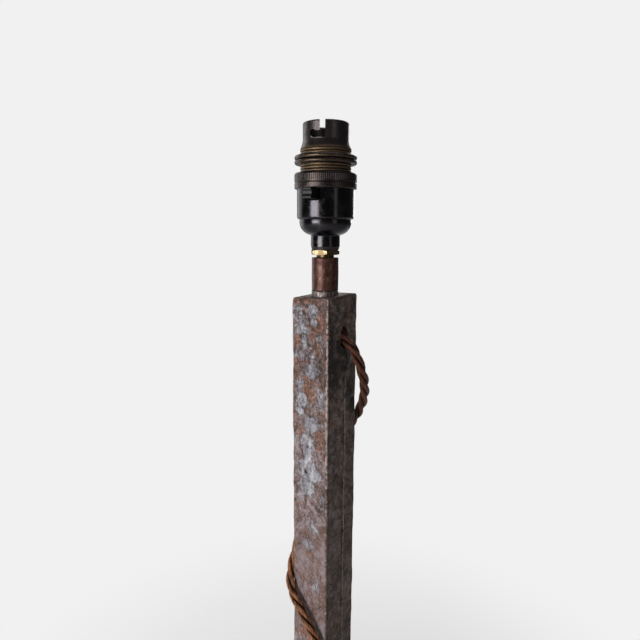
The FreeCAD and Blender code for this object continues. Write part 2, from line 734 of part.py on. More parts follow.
def insulator_block():
    """Moulded block with the bar's channel, the plungers' wells and the bridge's recess."""
    flange = LEDGE_RADIUS - SEAT_CLEARANCE
    moulding = cylinder(INSULATOR_RADIUS, INSULATOR_LOW, INSULATOR_TOP)
    moulding = moulding.fuse(cylinder(flange, LEDGE, CASING_RIM))
    cuts = [bar_cut(SLIDE_CLEARANCE)]
    recess_low = BAR_LOW - BRIDGE_THICKNESS - SLIDE_CLEARANCE
    recess = block(BRIDGE_LENGTH + 2 * BAR_TRAVEL + 2 * SLIDE_CLEARANCE, BRIDGE_WIDTH + 2 * SLIDE_CLEARANCE,
                   recess_low, BAR_LOW)
    cuts.append(aimed(recess, BAR_ANGLE))
    for at in contact_places().values():
        well = PLUNGER_RADIUS + RUNNING_CLEARANCE
        mouth = PLUNGER_TIP_RADIUS + RUNNING_CLEARANCE
        cuts.append(cylinder(well, INSULATOR_LOW, INSULATOR_TOP - PLUNGER_LIP, at.x, at.y))
        cuts.append(cylinder(mouth, INSULATOR_LOW, INSULATOR_TOP, at.x, at.y))
    return moulding.cut(cuts).removeSplitter()


def plunger(at):
    """Sprung contact: a barrel and a round-ended tip."""
    tip_top = PLUNGER_SHOULDER + PLUNGER_TIP_LENGTH
    barrel = cylinder(PLUNGER_RADIUS, PLUNGER_LOW, PLUNGER_SHOULDER)
    tip = turned([(0, PLUNGER_LOW), (PLUNGER_TIP_RADIUS, PLUNGER_LOW),
                  (PLUNGER_TIP_RADIUS, tip_top - PLUNGER_TIP_RADIUS),
                  arc_step((0, tip_top - PLUNGER_TIP_RADIUS), PLUNGER_TIP_RADIUS, 45, 90)])
    solid = barrel.fuse(tip).removeSplitter()
    solid.translate(at)
    return solid


def plunger_spring(name, at):
    """Coil spring between a terminal and its plunger."""
    low = SPRING_SEAT + SPRING_WIRE_RADIUS + SEAT_CLEARANCE
    high = PLUNGER_LOW - SPRING_WIRE_RADIUS - SEAT_CLEARANCE
    radius = PLUNGER_RADIUS - SPRING_WIRE_RADIUS - SEAT_CLEARANCE
    rise = (high - low) / SPRING_COILS
    wire = Part.Wire(winding(lambda t: at + place(radius, 360 * t, low + rise * t), SPRING_COILS, 4))
    print(name, "least gap", round(least_gap(wire, SPRING_WIRE_RADIUS, SPRING_WIRE_RADIUS), 2))
    return swept(name, wire, SPRING_WIRE_RADIUS)


def terminal(at):
    """Stud that carries a spring and clamps a core."""
    stud = cylinder(PLUNGER_RADIUS, TERMINAL_LOW, SPRING_SEAT)
    hole = Part.makeCylinder(TERMINAL_SCREW_RADIUS + THREAD_CLEARANCE, PLUNGER_RADIUS,
                             Vector(0, 0, screw_height()), Vector(1, 0, 0))
    stud = stud.cut(aimed(hole, math.degrees(math.atan2(at.y, at.x))))
    stud.translate(at)
    return stud


def screw_height():
    """The height of the terminal screws, midway down what shows of the terminals."""
    return INSULATOR_LOW - TERMINAL_DROP / 2


def side_screw(height):
    """Screw along +X, its head's seat at the origin."""
    screw = Part.makeCylinder(TERMINAL_SCREW_RADIUS, TERMINAL_SCREW_LENGTH + TERMINAL_HEAD_HEIGHT,
                              Vector(-TERMINAL_SCREW_LENGTH, 0, height), Vector(1, 0, 0))
    seat = Vector(0, 0, height)
    head = Part.makeCylinder(TERMINAL_HEAD_RADIUS, TERMINAL_HEAD_HEIGHT, seat, Vector(1, 0, 0))
    driver_slot = block(TERMINAL_HEAD_HEIGHT, TERMINAL_SCREW_RADIUS / 2, height - TERMINAL_HEAD_RADIUS,
                        height + TERMINAL_HEAD_RADIUS, TERMINAL_HEAD_HEIGHT)
    return screw.fuse(head).cut(driver_slot).removeSplitter()


def terminal_screws():
    """A clamping screw in each terminal."""
    screws = []
    for at in contact_places().values():
        screw = side_screw(screw_height())
        screw.translate(Vector(at.Length + PLUNGER_RADIUS, 0, 0))
        screws.append(aimed(screw, math.degrees(math.atan2(at.y, at.x))))
    return Part.makeCompound(screws)


def push_bar():
    """Switch bar through the casing, with soft ends and a dish for the finger."""
    near = BODY_RADIUS + BAR_STANDS_OUT
    far = BODY_RADIUS + BAR_BACK_STANDS_OUT
    bar = block(near + far, BAR_WIDTH, BAR_LOW, BAR_TOP, (near - far) / 2)
    ends = [e for e in bar.Edges if e.BoundBox.XLength < 1e-6]
    dish_start = Vector(near + BAR_DISH_RADIUS - BAR_DISH_DEPTH, -BAR_WIDTH, (BAR_LOW + BAR_TOP) / 2)
    dish = Part.makeCylinder(BAR_DISH_RADIUS, 2 * BAR_WIDTH, dish_start, Vector(0, 1, 0))
    return aimed(bar.makeFillet(BAR_EDGE, ends).cut(dish), BAR_ANGLE)


def switch_bridge():
    """Contact strip under the push bar."""
    strip = block(BRIDGE_LENGTH, BRIDGE_WIDTH, BAR_LOW - BRIDGE_THICKNESS, BAR_LOW, BAR_TRAVEL / 2)
    return aimed(strip, BAR_ANGLE)


EARTH_LUG_TOP = INSULATOR_LOW - EARTH_LUG_DROP
EARTH_LUG_LOW = EARTH_LUG_TOP - EARTH_LUG_HEIGHT
EARTH_LUG_FACE = BODY_BORE_RADIUS - EARTH_LUG_DEPTH


def earth_lug():
    """Lug on the inside of the casing."""
    lug = block(2 * EARTH_LUG_DEPTH, EARTH_LUG_WIDTH, EARTH_LUG_LOW, EARTH_LUG_TOP, BODY_BORE_RADIUS)
    lug = lug.common(cylinder(BODY_BORE_RADIUS - SEAT_CLEARANCE, EARTH_LUG_LOW, EARTH_LUG_TOP))
    start = Vector(EARTH_LUG_FACE, 0, EARTH_LUG_TOP - EARTH_LUG_HEIGHT / 2)
    tapped = TERMINAL_SCREW_RADIUS + THREAD_CLEARANCE
    hole = Part.makeCylinder(tapped, EARTH_LUG_DEPTH, start, Vector(1, 0, 0))
    return aimed(lug.cut(hole), EARTH_ANGLE)


def earth_screw():
    """Clamping screw in the earth lug, its head towards the stem's axis."""
    screw = aimed(side_screw(EARTH_LUG_TOP - EARTH_LUG_HEIGHT / 2), 180)
    screw.translate(Vector(EARTH_LUG_FACE, 0, 0))
    return aimed(screw, EARTH_ANGLE)


# Cord

def core(name, degrees, end_radius, end_height):
    """One core, from the end of the cord to its terminal in an S bend."""
    start = place(CORE_RING_RADIUS, degrees, CORD_END)
    end = place(end_radius, degrees, end_height)
    bend = biarc(start, UP, end, UP)
    print(name, "radii", [round(arc.Curve.Radius, 1) for arc in bend])
    return swept(name, Part.Wire(bend), CORE_RADIUS)


def cord_inside():
    """The cord from the lampholder down the stem to the slot in the post."""
    points = [Vector(0, 0, CORD_END), Vector(0, 0, POST_TOP - CORD_BEND_BELOW_POST_TOP), WRAP_ROUTE[0]]
    return swept("cord_inside", cord_path("cord_inside", points), CORD_RADIUS)


COIL_LEAD = 2 * CORD_RADIUS
COIL_START = WRAP_ROUTE[-1] + Vector(COIL_LEAD, 0, 0)
COIL_CENTRE = COIL_START + Vector(0, COIL_RADIUS, 0)
COIL_TURNS = 2 * COIL_TURNS_IN


def coil_point(turn):
    """A point of the coil's centre line after a number of turns."""
    radius = COIL_RADIUS - COIL_STEP * (COIL_TURNS_IN - abs(turn - COIL_TURNS_IN))
    climbed = (turn - COIL_TURNS_IN) / COIL_CLIMB_TURNS + 0.5
    climbed = min(max(climbed, 0.0), 1.0)
    height = COIL_LAYER_STEP * (1 - math.cos(math.pi * climbed)) / 2
    return COIL_CENTRE + place(radius, COIL_START_ANGLE + 360 * turn, height)


COIL_END = coil_point(COIL_TURNS) + Vector(COIL_LEAD, 0, 0)


def cord_coil():
    """The put-away length of the cord, as one unbroken tube with straight ends."""
    turns = winding(coil_point, COIL_TURNS, 4, Vector(1, 0, 0))
    lead_in = Part.LineSegment(WRAP_ROUTE[-1], coil_point(0)).toShape()
    lead_out = Part.LineSegment(coil_point(COIL_TURNS), COIL_END).toShape()
    path = Part.Wire([lead_in] + turns + [lead_out])
    print("cord_coil least gap", round(least_gap(path, CORD_RADIUS, CORD_RADIUS / 2), 2))
    return swept("cord_coil", path, CORD_RADIUS)


def cord_tie():
    """Strap round both layers of the coil, closed by a stud."""
    middle_radius = COIL_RADIUS - COIL_STEP * COIL_TURNS_IN / 2
    reach = COIL_STEP * (COIL_TURNS_IN - 1) / 2 + CORD_RADIUS + 2 * TIE_CLEARANCE
    low = COIL_CENTRE.z - CORD_RADIUS - TIE_CLEARANCE
    high = COIL_CENTRE.z + COIL_LAYER_STEP + CORD_RADIUS + TIE_CLEARANCE
    middle = Vector(COIL_CENTRE.x, COIL_CENTRE.y + middle_radius, (low + high) / 2)

    def band(extra):
        """The strap's outline, grown all round, as a solid along X."""
        size = Vector(TIE_WIDTH, 2 * (reach + extra), high - low + 2 * extra)
        solid = Part.makeBox(size.x, size.y, size.z, middle - size * 0.5)
        corners = [e for e in solid.Edges if e.BoundBox.YLength + e.BoundBox.ZLength < 1e-6]
        return solid.makeFillet(TIE_CORNER + extra, corners)

    top = high + TIE_THICKNESS
    stud = cylinder(TIE_STUD_RADIUS, top - TIE_THICKNESS / 2, top + TIE_STUD_HEIGHT, middle.x, middle.y)
    return band(TIE_THICKNESS).cut(band(0.0)).fuse(stud).removeSplitter()


def cord_tail():
    """The cord from the coil to the plug."""
    points = [COIL_END + step for step in TAIL_STEPS]
    return swept("cord_tail", cord_path("cord_tail", points), CORD_RADIUS)


# Plug

CORD_ENTRY = COIL_END + TAIL_STEPS[-1] + Vector(CORD_IN_PLUG, 0, 0)
PLUG_MIDDLE = Vector(CORD_ENTRY.x - PLUG_LENGTH / 2, CORD_ENTRY.y, 0)
PLUG_BASE_LOW = PLUG_COVER_HEIGHT
PLUG_FACE = PLUG_BASE_LOW + PLUG_BASE_HEIGHT
LINE_PINS_X = CORD_ENTRY.x - LINE_PINS_FROM_CORD_END


def plug_slab(inset, low, high):
    """A slab of the plug's outline, drawn in all round."""
    return rounded_block(PLUG_LENGTH - 2 * inset, PLUG_WIDTH - 2 * inset, PLUG_CORNER - inset, low, high,
                         PLUG_MIDDLE.x, PLUG_MIDDLE.y)


def plug_cover():
    """The plug's back, a dished shell with a tapped post for the cover screw and a hole for the cord."""
    shell = plug_slab(0.0, 0, PLUG_BASE_LOW)
    rims = [e for e in shell.Edges if e.BoundBox.ZMax < 1e-6]
    shell = shell.makeFillet(PLUG_COVER_EDGE, rims)
    shell = shell.cut(plug_slab(PLUG_COVER_WALL, PLUG_COVER_WALL, PLUG_BASE_LOW))
    way_in = Part.makeCylinder(CORD_RADIUS + SLIDE_CLEARANCE, 2 * PLUG_COVER_WALL,
                               CORD_ENTRY - Vector(2 * PLUG_COVER_WALL, 0, 0), Vector(1, 0, 0))
    boss = cylinder(PLUG_SCREW_HEAD_RADIUS, PLUG_COVER_WALL, PLUG_BASE_LOW, PLUG_MIDDLE.x, PLUG_MIDDLE.y)
    tapped = cylinder(PLUG_SCREW_RADIUS + THREAD_CLEARANCE, PLUG_COVER_WALL, PLUG_BASE_LOW,
                      PLUG_MIDDLE.x, PLUG_MIDDLE.y)
    return shell.cut(way_in).fuse(boss).cut(tapped).removeSplitter()


def pin_places():
    """Each pin's node name, its place, its size along X and Y, and its length."""
    half = PIN_SPACING / 2
    line = (PIN_THICKNESS, LINE_PIN_BREADTH)
    earth = (EARTH_PIN_BREADTH, EARTH_PIN_WIDTH)
    return {
        "plug_earth_pin": (Vector(LINE_PINS_X - PIN_SPACING, PLUG_MIDDLE.y, 0), earth, EARTH_PIN_LENGTH),
        "plug_live_pin": (Vector(LINE_PINS_X, PLUG_MIDDLE.y + half, 0), line, LINE_PIN_LENGTH),
        "plug_neutral_pin": (Vector(LINE_PINS_X, PLUG_MIDDLE.y - half, 0), line, LINE_PIN_LENGTH),
    }


def plug_base():
    """The plug's face, with the pins' holes and a sunk hole for the cover screw."""
    base = plug_slab(0.0, PLUG_BASE_LOW, PLUG_FACE)
    rims = [e for e in base.Edges if e.BoundBox.ZMin > PLUG_FACE - 1e-6]
    base = base.makeFillet(PLUG_BASE_EDGE, rims)
    middle = PLUG_MIDDLE
    head_low = PLUG_FACE - PLUG_SCREW_HEAD_HEIGHT
    cuts = [
        cylinder(PLUG_SCREW_RADIUS + SEAT_CLEARANCE, PLUG_BASE_LOW, PLUG_FACE, middle.x, middle.y),
        cylinder(PLUG_SCREW_HEAD_RADIUS + SEAT_CLEARANCE, head_low, PLUG_FACE, middle.x, middle.y),
    ]
    for at, (length, width), _ in pin_places().values():
        cuts.append(block(length + 2 * SEAT_CLEARANCE, width + 2 * SEAT_CLEARANCE, PLUG_BASE_LOW, PLUG_FACE,
                          at.x, at.y))
    return base.cut(cuts)


def plug_pin(at, size, length):
    """Flat pin through the plug's face, with a foot inside and a chamfered end."""
    tip = PLUG_FACE + length
    pin = block(size[0], size[1], PLUG_BASE_LOW - PIN_INSIDE, tip, at.x, at.y)
    rims = [e for e in pin.Edges if e.BoundBox.ZMin > tip - 1e-6]
    return pin.makeChamfer(PIN_CHAMFER, rims)


def plug_fuse():
    """Cartridge fuse beside the live pin's foot, along X."""
    at, (length, width), _ = pin_places()["plug_live_pin"]
    height = PLUG_BASE_LOW - FUSE_RADIUS - SEAT_CLEARANCE
    start = Vector(at.x - length / 2 - SEAT_CLEARANCE - FUSE_LENGTH, at.y, height)
    return Part.makeCylinder(FUSE_RADIUS, FUSE_LENGTH, start, Vector(1, 0, 0))


GRIP_X = CORD_ENTRY.x - PLUG_COVER_WALL - SLIDE_CLEARANCE - GRIP_LENGTH / 2
GRIP_LOW = CORD_ENTRY.z + CORD_RADIUS + SEAT_CLEARANCE


def plug_cord_grip():
    """Bar that holds the cord down inside the plug."""
    grip = block(GRIP_LENGTH, GRIP_WIDTH, GRIP_LOW, GRIP_LOW + GRIP_THICKNESS, GRIP_X, PLUG_MIDDLE.y)
    holes = [cylinder(PLUG_SCREW_RADIUS + SEAT_CLEARANCE, GRIP_LOW, GRIP_LOW + GRIP_THICKNESS, GRIP_X, y)
             for y in grip_screw_rows()]
    return grip.cut(holes)


def grip_screw_rows():
    """The places of the grip's two screws, across the plug."""
    return [PLUG_MIDDLE.y - GRIP_SCREW_SPACING / 2, PLUG_MIDDLE.y + GRIP_SCREW_SPACING / 2]


def plug_screws():
    """The cover screw and the grip's two screws."""
    head_low = PLUG_FACE - PLUG_SCREW_HEAD_HEIGHT
    at = PLUG_MIDDLE
    cover = cylinder(PLUG_SCREW_RADIUS, PLUG_COVER_WALL + SEAT_CLEARANCE, PLUG_FACE, at.x, at.y)
    cover = cover.fuse(cylinder(PLUG_SCREW_HEAD_RADIUS, head_low, PLUG_FACE, at.x, at.y))
    slot_low = PLUG_FACE - PLUG_SCREW_HEAD_HEIGHT / 2
    driver_slot = block(2 * PLUG_SCREW_HEAD_RADIUS, PLUG_SCREW_RADIUS / 2, slot_low, PLUG_FACE, at.x, at.y)
    screws = [cover.cut(driver_slot).removeSplitter()]
    for y in grip_screw_rows():
        screws.append(cylinder(PLUG_SCREW_RADIUS, PLUG_COVER_WALL, GRIP_LOW + GRIP_THICKNESS, GRIP_X, y))
    return Part.makeCompound(screws)


def all_pieces():
    """Every piece of the lamp by its node's name."""
    places = contact_places()
    pieces = {
        "felt_pads": felt_pads(),
        "base_plate": base_plate(),
        "base_washer": base_washer(),
        "base_bolt": base_bolt(),
        "foot_block": foot_block(),
        "post": post(),
        "post_cap": post_cap(),
        "spigot_collar": spigot_collar(),
        "spigot_tube": spigot_tube(),
        "nipple": nipple(),
        "lock_nut": lock_nut(),
        "entry_bush": entry_bush(),
        "cap_shell": cap_shell(),
        "union_ring": union_ring(),
        "lamp_sleeve": lamp_sleeve(),
        "shade_ring": shade_ring(),
        "insulator_block": insulator_block(),
        "push_bar": push_bar(),
        "switch_bridge": switch_bridge(),
        "terminal_screws": terminal_screws(),
        "earth_lug": earth_lug(),
        "earth_screw": earth_screw(),
        "earth_core": core("earth_core", EARTH_ANGLE, EARTH_LUG_FACE + CORE_RADIUS, EARTH_LUG_LOW),
        "cord_inside": cord_inside(),
        "cord_wrap": swept("cord_wrap", cord_path("cord_wrap", WRAP_ROUTE), CORD_RADIUS),
        "cord_coil": cord_coil(),
        "cord_tie": cord_tie(),
        "cord_tail": cord_tail(),
        "plug_cover": plug_cover(),
        "plug_base": plug_base(),
        "plug_fuse": plug_fuse(),
        "plug_cord_grip": plug_cord_grip(),
        "plug_screws": plug_screws(),
    }
    for name, at in places.items():
        degrees = math.degrees(math.atan2(at.y, at.x))
        pieces[name + "_plunger"] = plunger(at)
        pieces[name + "_spring"] = plunger_spring(name + "_spring", at)
        pieces[name + "_terminal"] = terminal(at)
        pieces[name + "_core"] = core(name + "_core", degrees, PLUNGER_OFFSET, TERMINAL_LOW)
    for name, (at, size, length) in pin_places().items():
        pieces[name] = plug_pin(at, size, length)
    return pieces


os.makedirs("parts", exist_ok=True)
for node, shape in all_pieces().items():
    shape.exportStep("parts/" + node + ".step")
    print(node, len(shape.Solids), "valid" if shape.isValid() else "INVALID", round(shape.Volume, 1))
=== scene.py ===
"""Dresses an iron table lamp: rusted post, bronze lampholder, twisted flex and plug, in a plain studio."""

import logging
import math
from collections.abc import Callable, Iterator, Sequence
from contextlib import contextmanager
from dataclasses import dataclass
from enum import Enum
from itertools import accumulate
from typing import Any

import bmesh
import bpy
from mathutils import Matrix, Vector, noise


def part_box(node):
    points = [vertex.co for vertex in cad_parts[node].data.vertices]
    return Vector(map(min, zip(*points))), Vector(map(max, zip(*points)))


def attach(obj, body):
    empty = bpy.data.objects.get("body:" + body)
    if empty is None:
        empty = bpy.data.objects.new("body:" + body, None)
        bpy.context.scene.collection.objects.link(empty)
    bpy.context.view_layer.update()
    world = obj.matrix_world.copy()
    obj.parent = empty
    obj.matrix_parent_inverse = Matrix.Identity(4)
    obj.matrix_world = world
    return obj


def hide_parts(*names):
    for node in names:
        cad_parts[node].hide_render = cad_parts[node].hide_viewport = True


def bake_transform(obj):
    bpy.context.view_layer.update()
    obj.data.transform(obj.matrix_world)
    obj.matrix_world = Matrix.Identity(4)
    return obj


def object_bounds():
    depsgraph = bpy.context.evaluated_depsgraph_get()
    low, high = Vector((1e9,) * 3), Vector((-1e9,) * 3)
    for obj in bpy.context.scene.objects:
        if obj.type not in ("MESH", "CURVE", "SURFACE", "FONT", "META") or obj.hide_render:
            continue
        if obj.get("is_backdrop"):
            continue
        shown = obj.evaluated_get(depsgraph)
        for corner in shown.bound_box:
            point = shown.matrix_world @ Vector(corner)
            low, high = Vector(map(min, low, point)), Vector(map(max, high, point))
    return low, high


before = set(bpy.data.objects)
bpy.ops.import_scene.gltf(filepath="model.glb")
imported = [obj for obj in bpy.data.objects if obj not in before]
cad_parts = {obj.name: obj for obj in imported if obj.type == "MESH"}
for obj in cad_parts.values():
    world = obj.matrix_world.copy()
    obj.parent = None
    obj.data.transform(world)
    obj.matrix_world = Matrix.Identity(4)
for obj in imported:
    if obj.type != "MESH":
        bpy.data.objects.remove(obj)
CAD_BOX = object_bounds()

logging.basicConfig(level=logging.INFO, format="%(message)s")
log = logging.getLogger("lamp")

IMAGE_SIZE = 640
MM = 0.001
LONG_EDGE = 0.01
RIM_ANGLE = 0.7
ON_AXIS = 0.9
SAME_PLACE = 1e-6
FLOAT = "NodeSocketFloat"
COLOUR = "NodeSocketColor"

Colour = tuple[float, float, float, float]
Point = tuple[float, float, float]
Span = tuple[float, float]
Socket = bpy.types.NodeSocket
Test = Callable[[Any], bool]

WHITE: Colour = (1.0, 1.0, 1.0, 1.0)


def srgb(red: int, green: int, blue: int) -> Colour:
    """Turns a colour as seen on a screen into the linear colour that shaders take.

    Args:
        red: red part, 0 to 255.
        green: green part, 0 to 255.
        blue: blue part, 0 to 255.

    Returns:
        The linear colour, fully opaque.
    """
    parts = []
    for part in (red, green, blue):
        share = part / 255
        parts.append(share / 12.92 if share <= 0.04045 else ((share + 0.055) / 1.055) ** 2.4)
    return (parts[0], parts[1], parts[2], 1.0)


def smooth_step(low: float, high: float, value: float) -> float:
    """Rises smoothly from 0 at low to 1 at high."""
    share = min(max((value - low) / (high - low), 0.0), 1.0)
    return share * share * (3 - 2 * share)


class Body(Enum):
    """The lamp's bodies; new pieces ride on the lamp body."""

    LAMP = "lamp"
    LIVE_PLUNGER = "live_plunger"
    NEUTRAL_PLUNGER = "neutral_plunger"


class Slot(Enum):
    """The record's material slots, one for each kind of new piece."""

    IRON = "rusted_iron"
    STEEL = "zinc_steel"
    FELT = "felt"
    BRAID = "brown_braid"
    TIE = "tie_leather"


class Axis(Enum):
    """The axes that a piece's ends are taken off across."""

    X = 0
    Z = 2


class Part(Enum):
    """The kinds of mesh element that are picked."""

    EDGES = "EDGE"
    FACES = "FACE"


@dataclass(frozen=True)
class Clouds:
    """Cloudy noise for shaders: its fineness, its layers and where it is taken from."""

    per_metre: float
    detail: float = 4.0
    roughness: float = 0.55
    distortion: float = 0.0
    offset: Point | None = None


class Graph:
    """Adds and links nodes in one node tree."""

    def __init__(self, tree: bpy.types.NodeTree) -> None:
        """Keeps the tree that the nodes go into."""
        self.tree = tree

    def node(self, kind: str, inputs: dict[Any, Any] | None = None, **settings: Any) -> bpy.types.Node:
        """Adds a node.

        Args:
            kind: the node's type name.
            inputs: values or sockets for its inputs, by name or number.
            settings: values for its own properties.

        Returns:
            The new node.
        """
        made = self.tree.nodes.new(kind)
        for name, value in settings.items():
            setattr(made, name, value)
        for key, value in (inputs or {}).items():
            self.feed(made.inputs[key], value)
        return made

    def feed(self, socket: Socket, value: Any) -> None:
        """Links a socket to an input, or sets the input's plain value.

        Args:
            socket: the input.
            value: an output socket, a number or a colour.
        """
        if isinstance(value, Socket):
            self.tree.links.new(value, socket)
        else:
            socket.default_value = value

    def place(self) -> Socket:
        """Gives the piece's own coordinates, in metres."""
        return self.node("ShaderNodeTexCoord").outputs["Object"]

    def mark(self, name: str) -> Socket:
        """Gives a value that is stored on the mesh under a name."""
        return self.node("ShaderNodeAttribute", attribute_name=name).outputs["Fac"]

    def parts(self, vector: Any) -> Any:
        """Gives the parts of a vector, by the letter of their axis."""
        return self.node("ShaderNodeSeparateXYZ", {"Vector": vector}).outputs

    def length(self, vector: Any) -> Socket:
        """Gives the length of a vector."""
        return self.node("ShaderNodeVectorMath", {0: vector}, operation="LENGTH").outputs["Value"]

    def moved(self, vector: Any, **values: Point) -> Socket:
        """Shifts, turns or scales coordinates by the given Location, Rotation or Scale."""
        return self.node("ShaderNodeMapping", {"Vector": vector, **values}).outputs["Vector"]

    def noise(self, vector: Any, clouds: Clouds) -> Socket:
        """Gives cloudy noise.

        Args:
            vector: the coordinates.
            clouds: the kind of noise.

        Returns:
            The noise value, around 0.5.
        """
        if clouds.offset:
            vector = self.moved(vector, Location=clouds.offset)
        values = {
            "Vector": vector,
            "Scale": clouds.per_metre,
            "Detail": clouds.detail,
            "Roughness": clouds.roughness,
            "Distortion": clouds.distortion,
        }
        return self.node("ShaderNodeTexNoise", values).outputs["Fac"]

    def cells(self, vector: Any, per_metre: float) -> Socket:
        """Gives the distance to scattered points, in spacings."""
        return self.node("ShaderNodeTexVoronoi", {"Vector": vector, "Scale": per_metre}).outputs["Distance"]

    def band(self, value: Any, low: float, high: float, start: float = 0.0, end: float = 1.0) -> Socket:
        """Steps smoothly from a start to an end as a value goes from low to high."""
        values = {"Value": value, "From Min": low, "From Max": high, "To Min": start, "To Max": end}
        return self.node("ShaderNodeMapRange", values, interpolation_type="SMOOTHSTEP").outputs["Result"]

    def swing(self, value: Any, low: float, high: float, most: float = 0.5) -> Socket:
        """Steps smoothly from minus the given most to plus it."""
        return self.band(value, low, high, -most, most)

    def between(self, share: Any, start: float, end: float) -> Socket:
        """Runs from one value to another as a share goes from 0 to 1."""
        return self.band(share, 0.0, 1.0, start, end)

    def work(self, operation: str, first: Any, second: Any = 0.0) -> Socket:
        """Works out one step of arithmetic, named by its operation."""
        return self.node("ShaderNodeMath", {0: first, 1: second}, operation=operation).outputs[0]

    def plus(self, first: Any, second: Any) -> Socket:
        """Adds two values."""
        return self.work("ADD", first, second)

    def minus(self, first: Any, second: Any) -> Socket:
        """Takes the second value from the first."""
        return self.work("SUBTRACT", first, second)

    def times(self, first: Any, second: Any) -> Socket:
        """Multiplies two values."""
        return self.work("MULTIPLY", first, second)

    def mix(self, share: Any, first: Any, second: Any) -> Socket:
        """Mixes two colours, with the given share of the second."""
        return self.node("ShaderNodeMix", {0: share, 6: first, 7: second}, data_type="RGBA").outputs[2]

    def cover(self, ground: Any, *coats: tuple[Any, Any]) -> Socket:
        """Lays colours over a ground, one after another.

        Args:
            ground: the colour underneath.
            coats: the share and the colour of each coat.

        Returns:
            The colour that shows.
        """
        for share, colour in coats:
            ground = self.mix(share, ground, colour)
        return ground

    def ramp(self, value: Any, *stops: tuple[float, Colour]) -> Socket:
        """Runs through a row of colours.

        Args:
            value: place along the row, 0 to 1.
            stops: places and their colours, in order.

        Returns:
            The colour.
        """
        made = self.node("ShaderNodeValToRGB", {"Fac": value})
        row = made.color_ramp.elements
        while len(row) < len(stops):
            row.new(0.5)
        for element, (where, colour) in zip(row, stops):
            element.position = where
            element.color = colour
        return made.outputs["Color"]

    def bump(self, height: Any, strength: float, distance: float) -> Socket:
        """Turns a height, of which one is a distance in metres, into a bent normal."""
        values = {"Height": height, "Strength": strength, "Distance": distance}
        return self.node("ShaderNodeBump", values).outputs["Normal"]

    def surface(self, **inputs: Any) -> None:
        """Adds the surface shader and links it to the output.

        Args:
            inputs: its inputs, with underscores for the spaces in their names.
        """
        values = {key.replace("_", " "): value for key, value in inputs.items()}
        shader = self.node("ShaderNodeBsdfPrincipled", values)
        self.node("ShaderNodeOutputMaterial", {"Surface": shader.outputs["BSDF"]})


class Effect:
    """A shader node group that several finishes share."""

    name = ""
    inputs: tuple[tuple[str, float], ...] = ()
    outputs: tuple[tuple[str, str], ...] = ()

    def tree(self) -> bpy.types.NodeTree:
        """Gives the group, which is built the first time.

        Returns:
            The group's node tree.
        """
        made = bpy.data.node_groups.get(self.name)
        if made is None:
            made = bpy.data.node_groups.new(self.name, "ShaderNodeTree")
            made.interface.new_socket("Vector", in_out="INPUT", socket_type="NodeSocketVector")
            for title, value in self.inputs:
                made.interface.new_socket(title, in_out="INPUT", socket_type=FLOAT).default_value = value
            for title, kind in self.outputs:
                made.interface.new_socket(title, in_out="OUTPUT", socket_type=kind)
            graph = Graph(made)
            given = graph.node("NodeGroupInput").outputs
            graph.node("NodeGroupOutput", self.paint(graph, given))
        return made

    def paint(self, graph: Graph, given: Any) -> dict[str, Any]:
        """Builds the group's inside."""
        raise NotImplementedError

    def add(self, graph: Graph, vector: Any, **values: Any) -> Any:
        """Places the group in a material."""
        return graph.node("ShaderNodeGroup", {"Vector": vector, **values}, node_tree=self.tree()).outputs


